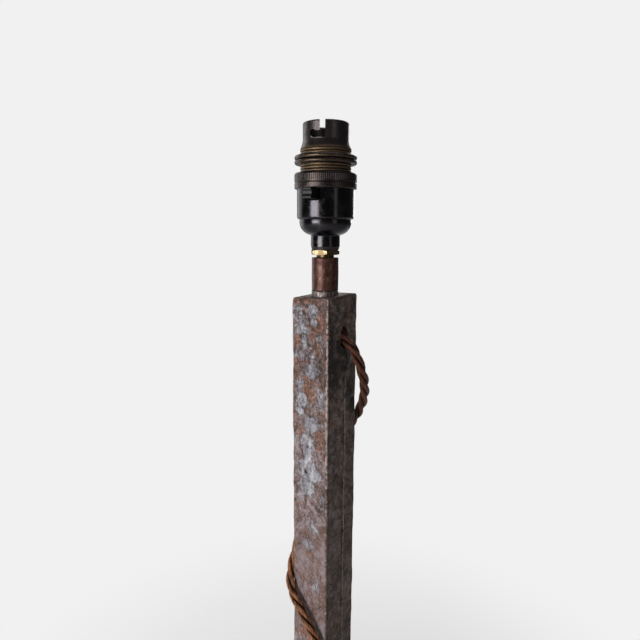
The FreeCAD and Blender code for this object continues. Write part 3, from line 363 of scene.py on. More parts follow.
class CorrodedIron(Effect):
    """Mottled rust with orange blooms, bare grey flakes, dark rims and contours, pits and pale flecks."""

    name = "corroded_iron"
    inputs = (("Bare", 0.3), ("Orange", 0.3), ("Calm", 0.0), ("Pitting", 0.7))
    outputs = (("Color", COLOUR), ("Roughness", FLOAT), ("Metallic", FLOAT), ("Height", FLOAT))
    stretch = (1, 1, 0.65)
    mottle = Clouds(130, 6, 0.68, 1.1)
    flake = Clouds(240, 7, 0.74, 1.6, (5.2, 0.6, 1.9))
    bloom = Clouds(200, 7, 0.72, 1.3, (3.1, 1.7, 2.3))
    fleck = Clouds(520, 5, 0.7, 0.6, (0.4, 2.6, 0.9))
    swirl = Clouds(110, 3, 0.5, 1.4, (1.3, 4.4, 0.2))
    swirl_lines = 5.0
    grain = Clouds(1500, 3, 0.6)
    pits_per_metre = 340
    pit_groups = Clouds(210, 2)
    broad = (0.22, 0.78)
    wide = (0.2, 0.8)
    ground = (
        (0.18, srgb(56, 41, 37)),
        (0.36, srgb(96, 70, 60)),
        (0.48, srgb(121, 98, 93)),
        (0.58, srgb(133, 118, 119)),
        (0.80, srgb(156, 146, 149)),
    )
    rust = ((0.2, srgb(82, 50, 37)), (0.5, srgb(130, 85, 64)), (0.8, srgb(160, 116, 96)))
    grey = ((0.15, srgb(106, 102, 108)), (0.5, srgb(153, 152, 160)), (0.8, srgb(208, 208, 213)))
    rim_tone = srgb(70, 56, 54)
    pale_tone = srgb(172, 158, 158)
    dark_tone = srgb(64, 47, 43)
    contour_tone = srgb(74, 58, 54)
    pit_tone = srgb(36, 27, 25)

    def paint(self, graph: Graph, given: Any) -> dict[str, Any]:
        """Builds the rust layers from the ground up.

        Args:
            graph: the group's graph.
            given: the group's input sockets.

        Returns:
            Colour, roughness, metal share and height.
        """
        spot, calm = given["Vector"], given["Calm"]
        tall = graph.moved(spot, Scale=self.stretch)
        fleck = graph.noise(spot, self.fleck)
        grain = graph.noise(spot, self.grain)
        lively = graph.between(calm, 1.0, 0.55)

        bare_field = graph.plus(given["Bare"], graph.swing(graph.noise(tall, self.flake), *self.broad))
        bare = graph.band(bare_field, 0.45, 0.50)
        rim = graph.times(graph.band(bare_field, 0.30, 0.43), graph.minus(1.0, bare))
        orange_field = graph.plus(given["Orange"], graph.swing(graph.noise(tall, self.bloom), *self.broad))
        orange = graph.band(orange_field, 0.36, 0.62)
        pit = graph.band(graph.cells(spot, self.pits_per_metre), 0.10, 0.19, 1.0, 0.0)
        pit = graph.times(pit, graph.band(graph.noise(spot, self.pit_groups), 0.5, 0.56))
        pit = graph.times(pit, given["Pitting"])
        pale = graph.times(graph.band(fleck, 0.6, 0.7, 0.0, 0.6), lively)
        dark = graph.times(graph.band(fleck, 0.31, 0.4, 0.7, 0.0), lively)
        dark = graph.times(dark, graph.between(bare, 1.0, 0.4))
        wave = graph.times(graph.noise(tall, self.swirl), self.swirl_lines)
        contour = graph.band(graph.work("PINGPONG", wave, 0.5), 0.02, 0.2, 0.45, 0.0)
        contour = graph.times(contour, graph.between(calm, 1.0, 0.3))

        stirred = graph.times(graph.swing(graph.noise(tall, self.mottle), *self.wide), lively)
        flecked = graph.times(graph.swing(fleck, *self.wide), lively)
        share = graph.plus(graph.times(stirred, 0.75), graph.times(flecked, 0.55))
        colour = graph.cover(
            graph.ramp(graph.plus(share, 0.5), *self.ground),
            (graph.times(orange, 0.9), graph.ramp(graph.plus(flecked, 0.5), *self.rust)),
            (graph.times(rim, 0.65), self.rim_tone),
            (
                graph.times(bare, graph.between(calm, 0.9, 0.6)),
                graph.ramp(graph.plus(graph.times(share, 0.85), 0.5), *self.grey),
            ),
            (pale, self.pale_tone),
            (dark, self.dark_tone),
            (contour, self.contour_tone),
            (pit, self.pit_tone),
        )

        height = graph.plus(graph.times(grain, 0.35), graph.times(flecked, 0.6))
        height = graph.minus(height, graph.times(bare, 0.35))
        return {
            "Color": colour,
            "Roughness": graph.minus(graph.band(grain, 0.3, 0.7, 0.66, 0.86), graph.times(bare, 0.2)),
            "Metallic": graph.times(bare, 0.2),
            "Height": graph.minus(height, pit),
        }


class HandledWear(Effect):
    """Smudges, fine scratches and grain from years of handling."""

    name = "handled_wear"
    inputs = (("Scale", 1.0),)
    outputs = (("Smudge", FLOAT), ("Scratch", FLOAT), ("Grain", FLOAT))
    smudge = Clouds(130, 5, 0.6, 0.4)
    scratch = Clouds(260, 2, 0.5)
    grain = Clouds(1500, 3, 0.6)
    slant = (0.5, 0.3, 0.7)
    stretch = (1, 14, 1)

    def paint(self, graph: Graph, given: Any) -> dict[str, Any]:
        """Builds the three layers of wear.

        Args:
            graph: the group's graph.
            given: the group's input sockets.

        Returns:
            Smudge, scratch and grain values.
        """
        values = {0: given["Vector"], "Scale": given["Scale"]}
        scaled = graph.node("ShaderNodeVectorMath", values, operation="SCALE").outputs["Vector"]
        slanted = graph.moved(scaled, Rotation=self.slant, Scale=self.stretch)
        return {
            "Smudge": graph.band(graph.noise(scaled, self.smudge), 0.38, 0.68),
            "Scratch": graph.band(graph.noise(slanted, self.scratch), 0.62, 0.7),
            "Grain": graph.noise(scaled, self.grain),
        }


class CrestWear(Effect):
    """Metal rubbed bare where a turned piece stands furthest from its axis."""

    name = "crest_wear"
    inputs = (("From", 0.01), ("To", 0.012), ("Patchy", 0.5))
    outputs = (("Mask", FLOAT),)
    patches = Clouds(900, 4, 0.7)

    def paint(self, graph: Graph, given: Any) -> dict[str, Any]:
        """Finds the crests and breaks them up.

        Args:
            graph: the group's graph.
            given: the group's input sockets.

        Returns:
            The mask of bare metal.
        """
        spot = given["Vector"]
        flat = graph.node("ShaderNodeVectorMath", {0: spot, 1: (1, 1, 0)}, operation="MULTIPLY")
        reach = graph.length(flat.outputs["Vector"])
        values = {"Value": reach, "From Min": given["From"], "From Max": given["To"]}
        crest = graph.node("ShaderNodeMapRange", values).outputs["Result"]
        lost = graph.times(graph.band(graph.noise(spot, self.patches), 0.36, 0.62), given["Patchy"])
        return {"Mask": graph.times(crest, graph.minus(1.0, lost))}


class Weave(Effect):
    """Two sets of yarns that cross over and under each other, laid out along a strand."""

    name = "braided_yarns"
    inputs = (("Around", 12.0), ("Along", 1200.0))
    outputs = (("Height", FLOAT), ("Yarn", FLOAT))

    def paint(self, graph: Graph, given: Any) -> dict[str, Any]:
        """Builds the crossing yarns from the strand's own length and turn.

        Args:
            graph: the group's graph.
            given: the group's input sockets.

        Returns:
            The weave's height and a shade for each yarn.
        """
        parts = graph.parts(given["Vector"])
        turn = graph.times(parts["X"], given["Around"])
        run = graph.times(parts["Y"], given["Along"])
        profiles, floors = [], []
        for operation in ("ADD", "SUBTRACT"):
            cross = graph.work(operation, turn, run)
            floors.append(graph.work("FLOOR", cross))
            profiles.append(graph.work("SINE", graph.times(graph.work("FRACT", cross), math.pi)))
        over = graph.work("PINGPONG", graph.plus(*floors), 1.0)
        first = graph.times(profiles[0], over)
        second = graph.times(profiles[1], graph.minus(1.0, over))
        shade = graph.node("ShaderNodeTexWhiteNoise", {"W": floors[0]}, noise_dimensions="1D")
        return {"Height": graph.plus(first, second), "Yarn": shade.outputs["Value"]}


@dataclass(frozen=True)
class Finish:
    """A material, painted once and then shared."""

    name: str

    def material(self) -> bpy.types.Material:
        """Gives the material, which is painted the first time.

        Returns:
            The material.
        """
        made = bpy.data.materials.get(self.name)
        if made is None:
            made = bpy.data.materials.new(self.name)
            made.use_nodes = True
            made.node_tree.nodes.clear()
            self.paint(Graph(made.node_tree))
        return made

    def paint(self, graph: Graph) -> None:
        """Builds the material's nodes in its graph."""
        raise NotImplementedError

    def dress(self, piece: bpy.types.Object) -> None:
        """Gives a piece this finish all over."""
        piece.data.materials.clear()
        piece.data.materials.append(self.material())


@dataclass(frozen=True)
class RustyIron(Finish):
    """Iron with loose rust and bare flakes."""

    bare: float = 0.12
    orange: float = 0.3
    calm: float = 0.2
    pitting: float = 0.7
    relief: float = 0.0005
    bend: float = 0.6

    def paint(self, graph: Graph) -> None:
        """Puts the rust on evenly.

        Args:
            graph: the material's graph.
        """
        values = {"Bare": self.bare, "Orange": self.orange, "Calm": self.calm, "Pitting": self.pitting}
        rust = CorrodedIron().add(graph, graph.place(), **values)
        self.coat(graph, rust, rust["Color"])

    def coat(self, graph: Graph, rust: Any, colour: Socket) -> None:
        """Puts the surface together.

        Args:
            graph: the material's graph.
            rust: what the rust group puts out.
            colour: the colour that shows.
        """
        graph.surface(
            Base_Color=colour,
            Roughness=rust["Roughness"],
            Metallic=rust["Metallic"],
            Normal=graph.bump(rust["Height"], self.bend, self.relief),
        )


@dataclass(frozen=True)
class PostIron(RustyIron):
    """The post's rust, laid out by the marks on its mesh."""

    pitting: float = 0.85
    bend: float = 0.9
    half_width: float = 0.0135
    rubbed_edge: Span = (0.0012, 0.0005)
    # Painted shade: a warm darker tone over the whole seamed face, reaching about a millimetre onto the lit
    # face by the near corner
    shaded_side_reach: Span = (0.0014, 0.0004)
    ragged: Clouds = Clouds(480, 5, 0.72, 0.4)
    drift: Clouds = Clouds(190, 6, 0.72, 0.6)
    # Warm dark tone of the painted shade on the seamed face
    shaded_side_tone: Colour = srgb(82, 70, 55)
    # Tone of the dark stains, the painted shade and the painted shadow
    stain_and_shade_tone: Colour = srgb(24, 17, 12)
    # Tone of the pale rubbed corners, partly painted highlight
    worn_tone: Colour = srgb(190, 168, 162)
    line_tone: Colour = srgb(132, 126, 116)

    def paint(self, graph: Graph) -> None:
        """Lays rust, pale rubbed edges that are partly painted highlight, a warm painted shade over the
        seamed face, and dark stains with painted shade and the painted shadow of the flex, where the mesh
        marks them.

        Args:
            graph: the material's graph.
        """
        spot = graph.place()
        marks = {name.title(): graph.mark(name) for name in ("bare", "orange", "calm")}
        rust = CorrodedIron().add(graph, spot, Pitting=self.pitting, **marks)
        parts = graph.parts(spot)
        inward = graph.work("MINIMUM", *(graph.work("ABSOLUTE", parts[axis]) for axis in "XY"))
        edge = graph.band(inward, *(self.half_width - inset for inset in self.rubbed_edge))
        ragged = graph.swing(graph.noise(spot, self.ragged), 0.3, 0.7)
        rubbed = graph.plus(graph.times(edge, graph.mark("rubbed_and_highlit")), graph.times(ragged, 1.5))
        drift = graph.swing(graph.noise(spot, self.drift), 0.3, 0.7, 0.45)
        shaded_from, shaded_to = (self.half_width - inset for inset in self.shaded_side_reach)
        colour = graph.cover(
            rust["Color"],
            # painted shade over the seamed face
            (graph.band(parts["X"], shaded_from, shaded_to, 0.0, 0.45), self.shaded_side_tone),
            # dark stains and holes, with painted shade and the painted shadow of the flex
            (graph.band(graph.plus(graph.mark("stain_and_shade"), drift), 0.15, 0.95, 0.0, 0.95), self.stain_and_shade_tone),
            # pale rubbed corners, partly painted highlight
            (graph.band(rubbed, 0.55, 0.95, 0.0, 0.85), self.worn_tone),
            (graph.times(graph.mark("line"), graph.band(ragged, -0.45, 0.15)), self.line_tone),
        )
        self.coat(graph, rust, colour)


@dataclass(frozen=True)
class PlateIron(RustyIron):
    """The foot's rust, in broad clouds, rubbed along the rim and scuffed on top."""

    bare: float = 0.16
    orange: float = 0.24
    calm: float = 0.25
    pitting: float = 0.85
    relief: float = 0.0006
    bend: float = 0.7
    bare_range: float = 0.16
    orange_range: float = -0.22
    half_width: float = 0.080
    top: float = 0.012
    rubbed_edge: Span = (0.0024, 0.0006)
    clouds: Clouds = Clouds(30, 5, 0.62, 0.9)
    ragged: Clouds = Clouds(260, 5, 0.72, 0.4)
    film: Clouds = Clouds(55, 5, 0.66, 1.2, (1.3, 0.4, 0.7))
    film_tone: Colour = srgb(58, 42, 36)
    worn_tone: Colour = srgb(176, 164, 160)

    def paint(self, graph: Graph) -> None:
        """Lays clouds of rust and bare metal, a dark oil film and the rubbed rim.

        Args:
            graph: the material's graph.
        """
        spot = graph.place()
        cloud = graph.swing(graph.noise(spot, self.clouds), 0.34, 0.66, 1.0)
        bare = graph.plus(graph.times(cloud, self.bare_range), self.bare)
        orange = graph.plus(graph.times(cloud, self.orange_range), self.orange)
        rust = CorrodedIron().add(graph, spot, Bare=bare, Orange=orange, Calm=self.calm, Pitting=self.pitting)
        parts = graph.parts(spot)
        out = graph.work("MAXIMUM", *(graph.work("ABSOLUTE", parts[axis]) for axis in "XY"))
        edges = ((out, self.half_width), (parts["Z"], self.top))
        near = [graph.band(reach, *(edge - inset for inset in self.rubbed_edge)) for reach, edge in edges]
        ragged = graph.swing(graph.noise(spot, self.ragged), 0.3, 0.7)
        colour = graph.cover(
            rust["Color"],
            (graph.band(graph.noise(spot, self.film), 0.42, 0.6, 0.0, 0.55), self.film_tone),
            (graph.band(graph.plus(graph.times(*near), ragged), 0.55, 1.0, 0.0, 0.8), self.worn_tone),
        )
        self.coat(graph, rust, colour)


@dataclass(frozen=True)
class BrownedIron(Finish):
    """Iron tube browned by handling, blotched and scratched."""

    dark: Colour = srgb(42, 17, 11)
    middle: Colour = srgb(74, 39, 28)
    light: Colour = srgb(99, 84, 76)
    stretch: Point = (1, 1, 0.6)
    blotches: Clouds = Clouds(420, 5, 0.66, 0.5)
    relief: float = 0.0002

    def paint(self, graph: Graph) -> None:
        """Lays blotches, scratches and a thin rust skin.

        Args:
            graph: the material's graph.
        """
        spot = graph.place()
        wear = HandledWear().add(graph, spot, Scale=1.4)
        blotch = graph.noise(graph.moved(spot, Scale=self.stretch), self.blotches)
        share = graph.plus(graph.times(blotch, 0.75), graph.times(wear["Grain"], 0.25))
        colour = graph.ramp(share, (0.36, self.dark), (0.5, self.middle), (0.66, self.light))
        height = graph.minus(blotch, graph.times(wear["Scratch"], 0.5))
        graph.surface(
            Base_Color=graph.mix(graph.times(wear["Scratch"], 0.4), colour, self.light),
            Metallic=0.6,
            Roughness=graph.band(share, 0.35, 0.65, 0.46, 0.34),
            Normal=graph.bump(height, 0.4, self.relief),
        )


@dataclass(frozen=True)
class BlackBronze(Finish):
    """Blackened bronze with a polish, rubbed to brass on crests that stand far enough from its axis."""

    crest_from: float = 1.0
    crest_to: float = 1.1
    patchy: float = 0.6
    smooth: float = 0.16
    rough: float = 0.27
    rubbed: Colour = srgb(100, 82, 60)
    skin: Colour = srgb(47, 46, 50)
    smudged: Colour = srgb(60, 57, 58)
    scratched: Colour = srgb(72, 64, 56)
    tarnished: Colour = srgb(62, 50, 37)
    relief: float = 0.00005

    def paint(self, graph: Graph) -> None:
        """Lays the black skin, the smudges and the rubbed brass.

        Args:
            graph: the material's graph.
        """
        spot = graph.place()
        wear = HandledWear().add(graph, spot, Scale=1.0)
        crests = {"From": self.crest_from, "To": self.crest_to, "Patchy": self.patchy}
        bare = CrestWear().add(graph, spot, **crests)["Mask"]
        roughness = graph.between(wear["Smudge"], self.smooth, self.rough)
        graph.surface(
            Base_Color=graph.cover(
                self.skin,
                (wear["Smudge"], self.smudged),
                (graph.times(wear["Scratch"], 0.2), self.scratched),
                (bare, graph.mix(wear["Grain"], self.tarnished, self.rubbed)),
            ),
            Metallic=1.0,
            Roughness=graph.plus(roughness, graph.times(bare, 0.25)),
            Normal=graph.bump(graph.minus(wear["Grain"], wear["Scratch"]), 0.25, self.relief),
        )


@dataclass(frozen=True)
class WornMetal(Finish):
    """Plain metal, dulled in places."""

    bright: Colour = srgb(188, 152, 96)
    dull: Colour = srgb(112, 82, 50)
    smooth: float = 0.32
    rough: float = 0.52
    relief: float = 0.00006

    def paint(self, graph: Graph) -> None:
        """Lays dull patches and scratches on bright metal.

        Args:
            graph: the material's graph.
        """
        wear = HandledWear().add(graph, graph.place(), Scale=1.6)
        graph.surface(
            Base_Color=graph.mix(graph.times(wear["Smudge"], 0.7), self.bright, self.dull),
            Metallic=1.0,
            Roughness=graph.between(wear["Smudge"], self.smooth, self.rough),
            Normal=graph.bump(graph.minus(wear["Grain"], wear["Scratch"]), 0.3, self.relief),
        )


PLATED_STEEL = WornMetal("plated_steel", srgb(196, 196, 194), srgb(112, 110, 106), 0.3, 0.5)


@dataclass(frozen=True)
class Moulding(Finish):
    """Hard moulded plastic or ceramic, a little scuffed."""

    colour: Colour = srgb(30, 28, 28)
    scuffed: Colour = srgb(66, 62, 60)
    smooth: float = 0.28
    rough: float = 0.5
    shine: float = 0.5
    relief: float = 0.00006

    def paint(self, graph: Graph) -> None:
        """Lays scuffs and grain on the plain colour.

        Args:
            graph: the material's graph.
        """
        wear = HandledWear().add(graph, graph.place(), Scale=0.8)
        share = graph.plus(graph.times(wear["Smudge"], 0.2), graph.times(wear["Scratch"], 0.3))
        graph.surface(
            Specular_IOR_Level=self.shine,
            Base_Color=graph.mix(share, self.colour, self.scuffed),
            Roughness=graph.between(wear["Smudge"], self.smooth, self.rough),
            Normal=graph.bump(wear["Grain"], 0.2, self.relief),
        )


@dataclass(frozen=True)
class Cloth(Finish):
    """Pressed felt or soft leather."""

    colour: Colour = srgb(52, 50, 48)
    light: Colour = srgb(92, 88, 84)
    grain: Clouds = Clouds(1800, 5, 0.7, 0.6)
    relief: float = 0.0003
    sheen: float = 0.3

    def paint(self, graph: Graph) -> None:
        """Lays fibres or grain in two tones.

        Args:
            graph: the material's graph.
        """
        spot = graph.place()
        wear = HandledWear().add(graph, spot, Scale=0.7)
        fibre = graph.noise(spot, self.grain)
        share = graph.plus(graph.band(fibre, 0.35, 0.7, 0.0, 0.8), graph.times(wear["Smudge"], 0.2))
        graph.surface(
            Base_Color=graph.mix(share, self.colour, self.light),
            Roughness=graph.band(fibre, 0.3, 0.7, 0.95, 0.75),
            Sheen_Weight=self.sheen,
            Normal=graph.bump(fibre, 0.6, self.relief),
        )


@dataclass(frozen=True)
class Braid(Finish):
    """Braided silk over each strand of the flex, with painted light that makes it lighter away from the
    post's slot and painted shade in the grooves between strands and yarns.
    """

    # Painted shade in the grooves between strands and between yarns
    dark: Colour = srgb(18, 8, 5)
    middle: Colour = srgb(66, 30, 19)
    light: Colour = srgb(110, 59, 38)
    # Painted light: the silk grows lighter away from the slot, most on some yarns, and the loop by the slot
    # stays darker
    lit_silk: Colour = srgb(190, 128, 84)
    lit_run: Span = (0.08, 0.22)
    most_lit: float = 0.95
    blotches: Clouds = Clouds(90, 3, 0.5)
    yarns_round: float = 12.0
    yarns_along: float = 1200.0
    shine: float = 0.2
    sheen: float = 0.04
    relief: float = 0.0002

    def paint(self, graph: Graph) -> None:
        """Lays the yarns along the strand's own map, with painted shade between strands and yarns, and
        painted light away from the slot.

        Args:
            graph: the material's graph.
        """
        along = graph.node("ShaderNodeUVMap", uv_map="strand").outputs["UV"]
        yarns = Weave().add(graph, along, Around=self.yarns_round, Along=self.yarns_along)
        blotch = graph.noise(graph.place(), self.blotches)
        share = graph.plus(graph.times(yarns["Yarn"], 0.5), graph.times(blotch, 0.5))
        silk = graph.ramp(share, (0.2, self.middle), (0.75, self.light))
        # painted light along the lower run, brightest on some yarns
        lit_share = graph.band(graph.parts(along)["Y"], *self.lit_run, 0.0, self.most_lit)
        lit_share = graph.times(lit_share, graph.between(yarns["Yarn"], 0.15, 1.0))
        # painted shade in the grooves between strands and between yarns
        clear_of_shade = graph.band(graph.mark("outward"), 0.5, 0.97)
        shown = graph.times(graph.band(yarns["Height"], 0.05, 0.6), clear_of_shade)
        graph.surface(
            Base_Color=graph.mix(shown, self.dark, graph.mix(lit_share, silk, self.lit_silk)),
            Roughness=graph.band(blotch, 0.3, 0.7, 0.34, 0.46),
            Specular_IOR_Level=self.shine,
            Sheen_Weight=self.sheen,
            Normal=graph.bump(yarns["Height"], 0.6, self.relief),
        )


@dataclass(frozen=True)
class PaleFloor(Finish):
    """A pale floor that runs out into the white behind."""

    backdrop: float = 1.0
    tone: Colour = (0.86, 0.86, 0.86, 1.0)
    fade_reach: Span = (0.12, 0.34)
    least_white: float = 0.6

    def paint(self, graph: Graph) -> None:
        """Mixes plain white into the floor that the camera sees, more of it far from the lamp.

        Args:
            graph: the material's graph.
        """
        white = graph.band(graph.length(graph.place()), *self.fade_reach, self.least_white, 1.0)
        seen = graph.node("ShaderNodeLightPath").outputs["Is Camera Ray"]
        pale = graph.node("ShaderNodeBsdfDiffuse", {"Color": self.tone}).outputs[0]
        glow = graph.node("ShaderNodeEmission", {"Color": WHITE, "Strength": self.backdrop}).outputs[0]
        both = graph.node("ShaderNodeMixShader", {0: graph.times(white, seen), 1: pale, 2: glow})
        graph.node("ShaderNodeOutputMaterial", {"Surface": both.outputs[0]})


class Workpiece:
    """A mesh on the bench, shaped by picking its parts and working on them."""

    def __init__(self, name: str) -> None:
        """Takes the object that was just added and settles its place in its mesh.

        Args:
            name: the piece's name.
        """
        self.object = bpy.context.object
        self.object.name = name
        self.object.data.name = name
        bpy.ops.object.transform_apply(location=True, rotation=True, scale=True)

    @classmethod
    def box(cls, name: str, size: Point, middle: Point) -> "Workpiece":
        """Adds a box of a size along each axis."""
        bpy.ops.mesh.primitive_cube_add(size=1, location=middle, scale=size)
        return cls(name)

    @classmethod
    def cylinder(
        cls, name: str, radius: float, depth: float, middle: Point, sides: int = 96, turn: Point = (0, 0, 0)
    ) -> "Workpiece":
        """Adds a cylinder.

        Args:
            name: the piece's name.
            radius: its radius.
            depth: its length.
            middle: its middle.
            sides: flats round it.
            turn: angles about each axis.

        Returns:
            The new piece.
        """
        bpy.ops.mesh.primitive_cylinder_add(
            vertices=sides, radius=radius, depth=depth, location=middle, rotation=turn
        )
        return cls(name)

    def activate(self) -> None:
        """Makes this piece the active one and the only one selected."""
        bpy.ops.object.select_all(action="DESELECT")
        self.object.select_set(True)
        bpy.context.view_layer.objects.active = self.object

    @contextmanager
    def editing(self, part: Part = Part.FACES, test: Test | None = None) -> Iterator[None]:
        """Opens the mesh for work on the parts that pass a test, and closes it again.

        Args:
            part: the kind of part.
            test: says whether a part is wanted; without a test, every part is.

        Yields:
            Nothing; the work is done while the mesh is open.
        """
        self.activate()
        bpy.ops.object.mode_set(mode="EDIT")
        bpy.ops.mesh.select_mode(type=part.value)
        bpy.ops.mesh.select_all(action="DESELECT" if test else "SELECT")
        if test:
            self.pick(part, test)
        yield
        bpy.ops.object.mode_set(mode="OBJECT")

    def pick(self, part: Part, test: Test) -> None:
        """Selects the parts of the open mesh that pass a test.

        Args:
            part: the kind of part.
            test: says whether a part is wanted.
        """
        mesh = bmesh.from_edit_mesh(self.object.data)
        for item in mesh.edges if part is Part.EDGES else mesh.faces:
            if test(item):
                item.select_set(True)
        mesh.select_flush_mode()
        bmesh.update_edit_mesh(self.object.data)

    def cut(self, count: int, test: Test) -> None:
        """Divides each edge that passes a test by a number of cuts."""
        with self.editing(Part.EDGES, test):
            bpy.ops.mesh.subdivide(number_cuts=count)

    def bevel(self, width: float, segments: int, test: Test) -> None:
        """Rounds the edges that pass a test, in a number of segments."""
        with self.editing(Part.EDGES, test):
            bpy.ops.mesh.bevel(offset=width, segments=segments, affect="EDGES")

    def open_ends(self, axis: Axis) -> None:
        """Takes off the faces that look along an axis."""
        with self.editing(Part.FACES, lambda face: abs(face.normal[axis.value]) > ON_AXIS):
            bpy.ops.mesh.delete(type="ONLY_FACE")

    def apply(self, kind: str, **settings: Any) -> None:
        """Adds a modifier and makes its result the mesh.

        Args:
            kind: the modifier's type name.
            settings: values for its properties.
        """
        self.activate()
        modifier = self.object.modifiers.new(kind.lower(), kind)
        for name, value in settings.items():
            setattr(modifier, name, value)
        bpy.ops.object.modifier_apply(modifier=modifier.name)

    def reshape(self, shift: Callable[[Vector, Vector], Vector]) -> None:
        """Moves every vertex.

        Args:
            shift: gives the move from a vertex's place and normal.
        """
        moves = [shift(vertex.co.copy(), vertex.normal.copy()) for vertex in self.object.data.vertices]
        for vertex, move in zip(self.object.data.vertices, moves):
            vertex.co += move
        self.object.data.update()

    def mark(self, name: str, value: Callable[[Vector], float]) -> None:
        """Stores a value, which comes from its place, on every vertex."""
        layer = self.object.data.attributes.new(name, "FLOAT", "POINT")
        layer.data.foreach_set("value", [value(vertex.co) for vertex in self.object.data.vertices])

    def smooth(self, angle: float = 40.0) -> None:
        """Shades the mesh smooth, with edges sharper than an angle kept."""
        self.activate()
        bpy.ops.object.shade_smooth_by_angle(angle=math.radians(angle))

    def mend(self) -> None:
        """Merges doubles and turns every face outwards."""
        with self.editing():
            bpy.ops.mesh.remove_doubles(threshold=SAME_PLACE)
            bpy.ops.mesh.normals_make_consistent(inside=False)

    def hand_over(self, slot: Slot, finish: Finish, *nodes: str) -> None:
        """Dresses the finished piece and fixes it to the lamp.

        Args:
            slot: the record's slot of its finish.
            finish: its finish.
            nodes: the solids that it stands for.
        """
        finish.dress(self.object)
        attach(self.object, Body.LAMP.value)
        self.enter(slot, *nodes)

    def enter(self, slot: Slot, *nodes: str) -> None:
        """Hides the solids that the piece stands for and logs its faces and those solids.

        Args:
            slot: not used.
            nodes: the solids.
        """
        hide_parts(*nodes)
        log.info("%s: %d faces, for %s", self.object.name, len(self.object.data.polygons), ", ".join(nodes))


def dress_nodes(finish: Finish, *nodes: str) -> None:
    """Gives solids that stay as they are a finish.

    Args:
        finish: the finish.
        nodes: the solids' names.
    """
    for name in nodes:
        finish.dress(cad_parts[name])
        log.info("%s: %s", name, finish.name)


def along_z(edge: Any) -> bool:
    """Says whether an edge runs upright."""
    first, second = (vertex.co for vertex in edge.verts)
    return abs(first.z - second.z) > ON_AXIS * (first - second).length


def is_level(edge: Any) -> bool:
    """Says whether an edge runs level."""
    first, second = (vertex.co for vertex in edge.verts)
    return abs(first.z - second.z) < SAME_PLACE


def is_long_level(edge: Any) -> bool:
    """Says whether an edge runs level and is long."""
    return is_level(edge) and edge.calc_length() > LONG_EDGE


def is_level_rim(edge: Any) -> bool:
    """Says whether an edge runs level along a sharp rim."""
    return is_level(edge) and edge.calc_face_angle(0.0) > RIM_ANGLE


def squeezed(place: Vector, share: float = 0.5) -> Vector:
    """Gives a place with its height scaled, which draws noise out upwards."""
    return Vector((place.x, place.y, share * place.z))


@dataclass(frozen=True)
class Swell:
    """Cloudy noise for meshes, in layers, each half as wide and high as the one before."""

    size: float
    layers: int = 3
    height: float = 1.0
    spread: float = 1.5

    def at(self, place: Vector) -> float:
        """Gives the noise at a place.

        Args:
            place: the place, in metres.

        Returns:
            A value around 0, mostly within half the height.
        """
        total = 0.0
        for layer in range(self.layers):
            total += noise.noise(place * (2**layer / self.size)) / 2**layer
        return self.height * (total / self.spread)


@dataclass(frozen=True)
class Patch:
    """A soft-edged mark on a flat face, in millimetres across and up the face."""

    across: float
    up: float
    half_width: float
    half_height: float
    strength: float = 1.0

    def value(self, across: float, up: float) -> float:
        """Gives the mark's strength at a place, which fades to 0 outside it."""
        reach = math.hypot((across - self.across) / self.half_width, (up - self.up) / self.half_height)
        return self.strength * smooth_step(1.7, 0.4, reach)


Patches = tuple[Patch, ...]


def patches(*rows: tuple[float, ...]) -> Patches:
    """Makes marks from rows of their sizes."""
    return tuple(Patch(*row) for row in rows)


# Marks on the lit face, which is the left one in the main view
LEFT_BARE = patches(
    (-8.7, 341.8, 4.2, 4.6, 0.75), (2.0, 344.5, 3.4, 3.6), (2.7, 339.1, 2.6, 2.9),
    (-5.2, 333.3, 4.5, 3.4, 0.8), (-3.8, 326.0, 1.7, 4.5), (6.9, 329.3, 2.0, 1.6),
    (-6.6, 317.9, 6.1, 3.5, 0.55), (1.5, 309.1, 4.1, 3.7, 1.5), (2.8, 315.8, 1.5, 3.8, 1.2),
    (-7.1, 300.5, 2.7, 3.1, 0.9), (-6.0, 290.9, 4.3, 4.0, 0.8), (-7.2, 283.5, 2.1, 2.9, 0.9),
    (8.7, 292.8, 3.5, 5.4, 0.5), (1.0, 276.9, 4.5, 5.2, 1.1), (-2.0, 265.6, 4.4, 4.9),
    (-1.9, 259.1, 3.1, 6.5, 1.1), (-0.5, 247.7, 6.5, 5.5, 1.25), (-2.3, 235.9, 5.1, 4.7, 1.1),
    (6.7, 245.7, 3.1, 3.3, 0.8), (10.1, 229.8, 2.3, 5.0, 0.5), (3.7, 211.3, 3.4, 3.9, 0.8),
    (-1.8, 198.6, 5.3, 4.8, 0.9), (5.3, 172.1, 3.7, 3.6, 0.75), (-8.3, 168.8, 2.7, 2.8, 0.6),
)
LEFT_ORANGE = patches(
    (8.3, 337.3, 5.0, 4.2, 1.2), (2.3, 330.6, 2.4, 3.3), (-8.5, 326.4, 2.4, 2.7),
    (5.7, 322.2, 4.0, 3.7, 1.1), (-5.1, 313.6, 6.1, 2.8), (-10.0, 306.1, 2.9, 3.1),
    (-1.2, 301.7, 4.5, 3.4, 1.2), (1.3, 294.9, 3.9, 3.1, 1.1), (8.0, 270.1, 3.9, 5.8, 0.7),
    (-7.5, 269.7, 2.5, 4.1, 0.8), (-4.0, 342.3, 1.8, 2.7, 0.9), (-4.9, 349.6, 6.2, 1.2, 0.9),
    (7.9, 345.1, 1.4, 3.6, 0.8), (-12.7, 276.4, 1.0, 16.4, 0.9), (9.9, 263.5, 2.5, 7.1, 0.6),
    (-4.1, 222.6, 5.3, 3.4, 0.5), (0.8, 191.9, 7.5, 2.6, 0.5), (-12.9, 219.2, 1.3, 12.3, 0.6),
)
LEFT_HOLES = patches(
    (-3.1, 245.6, 1.2, 1.4), (0.6, 282.0, 0.9, 1.0), (-1.6, 262.0, 0.8, 0.9),
)

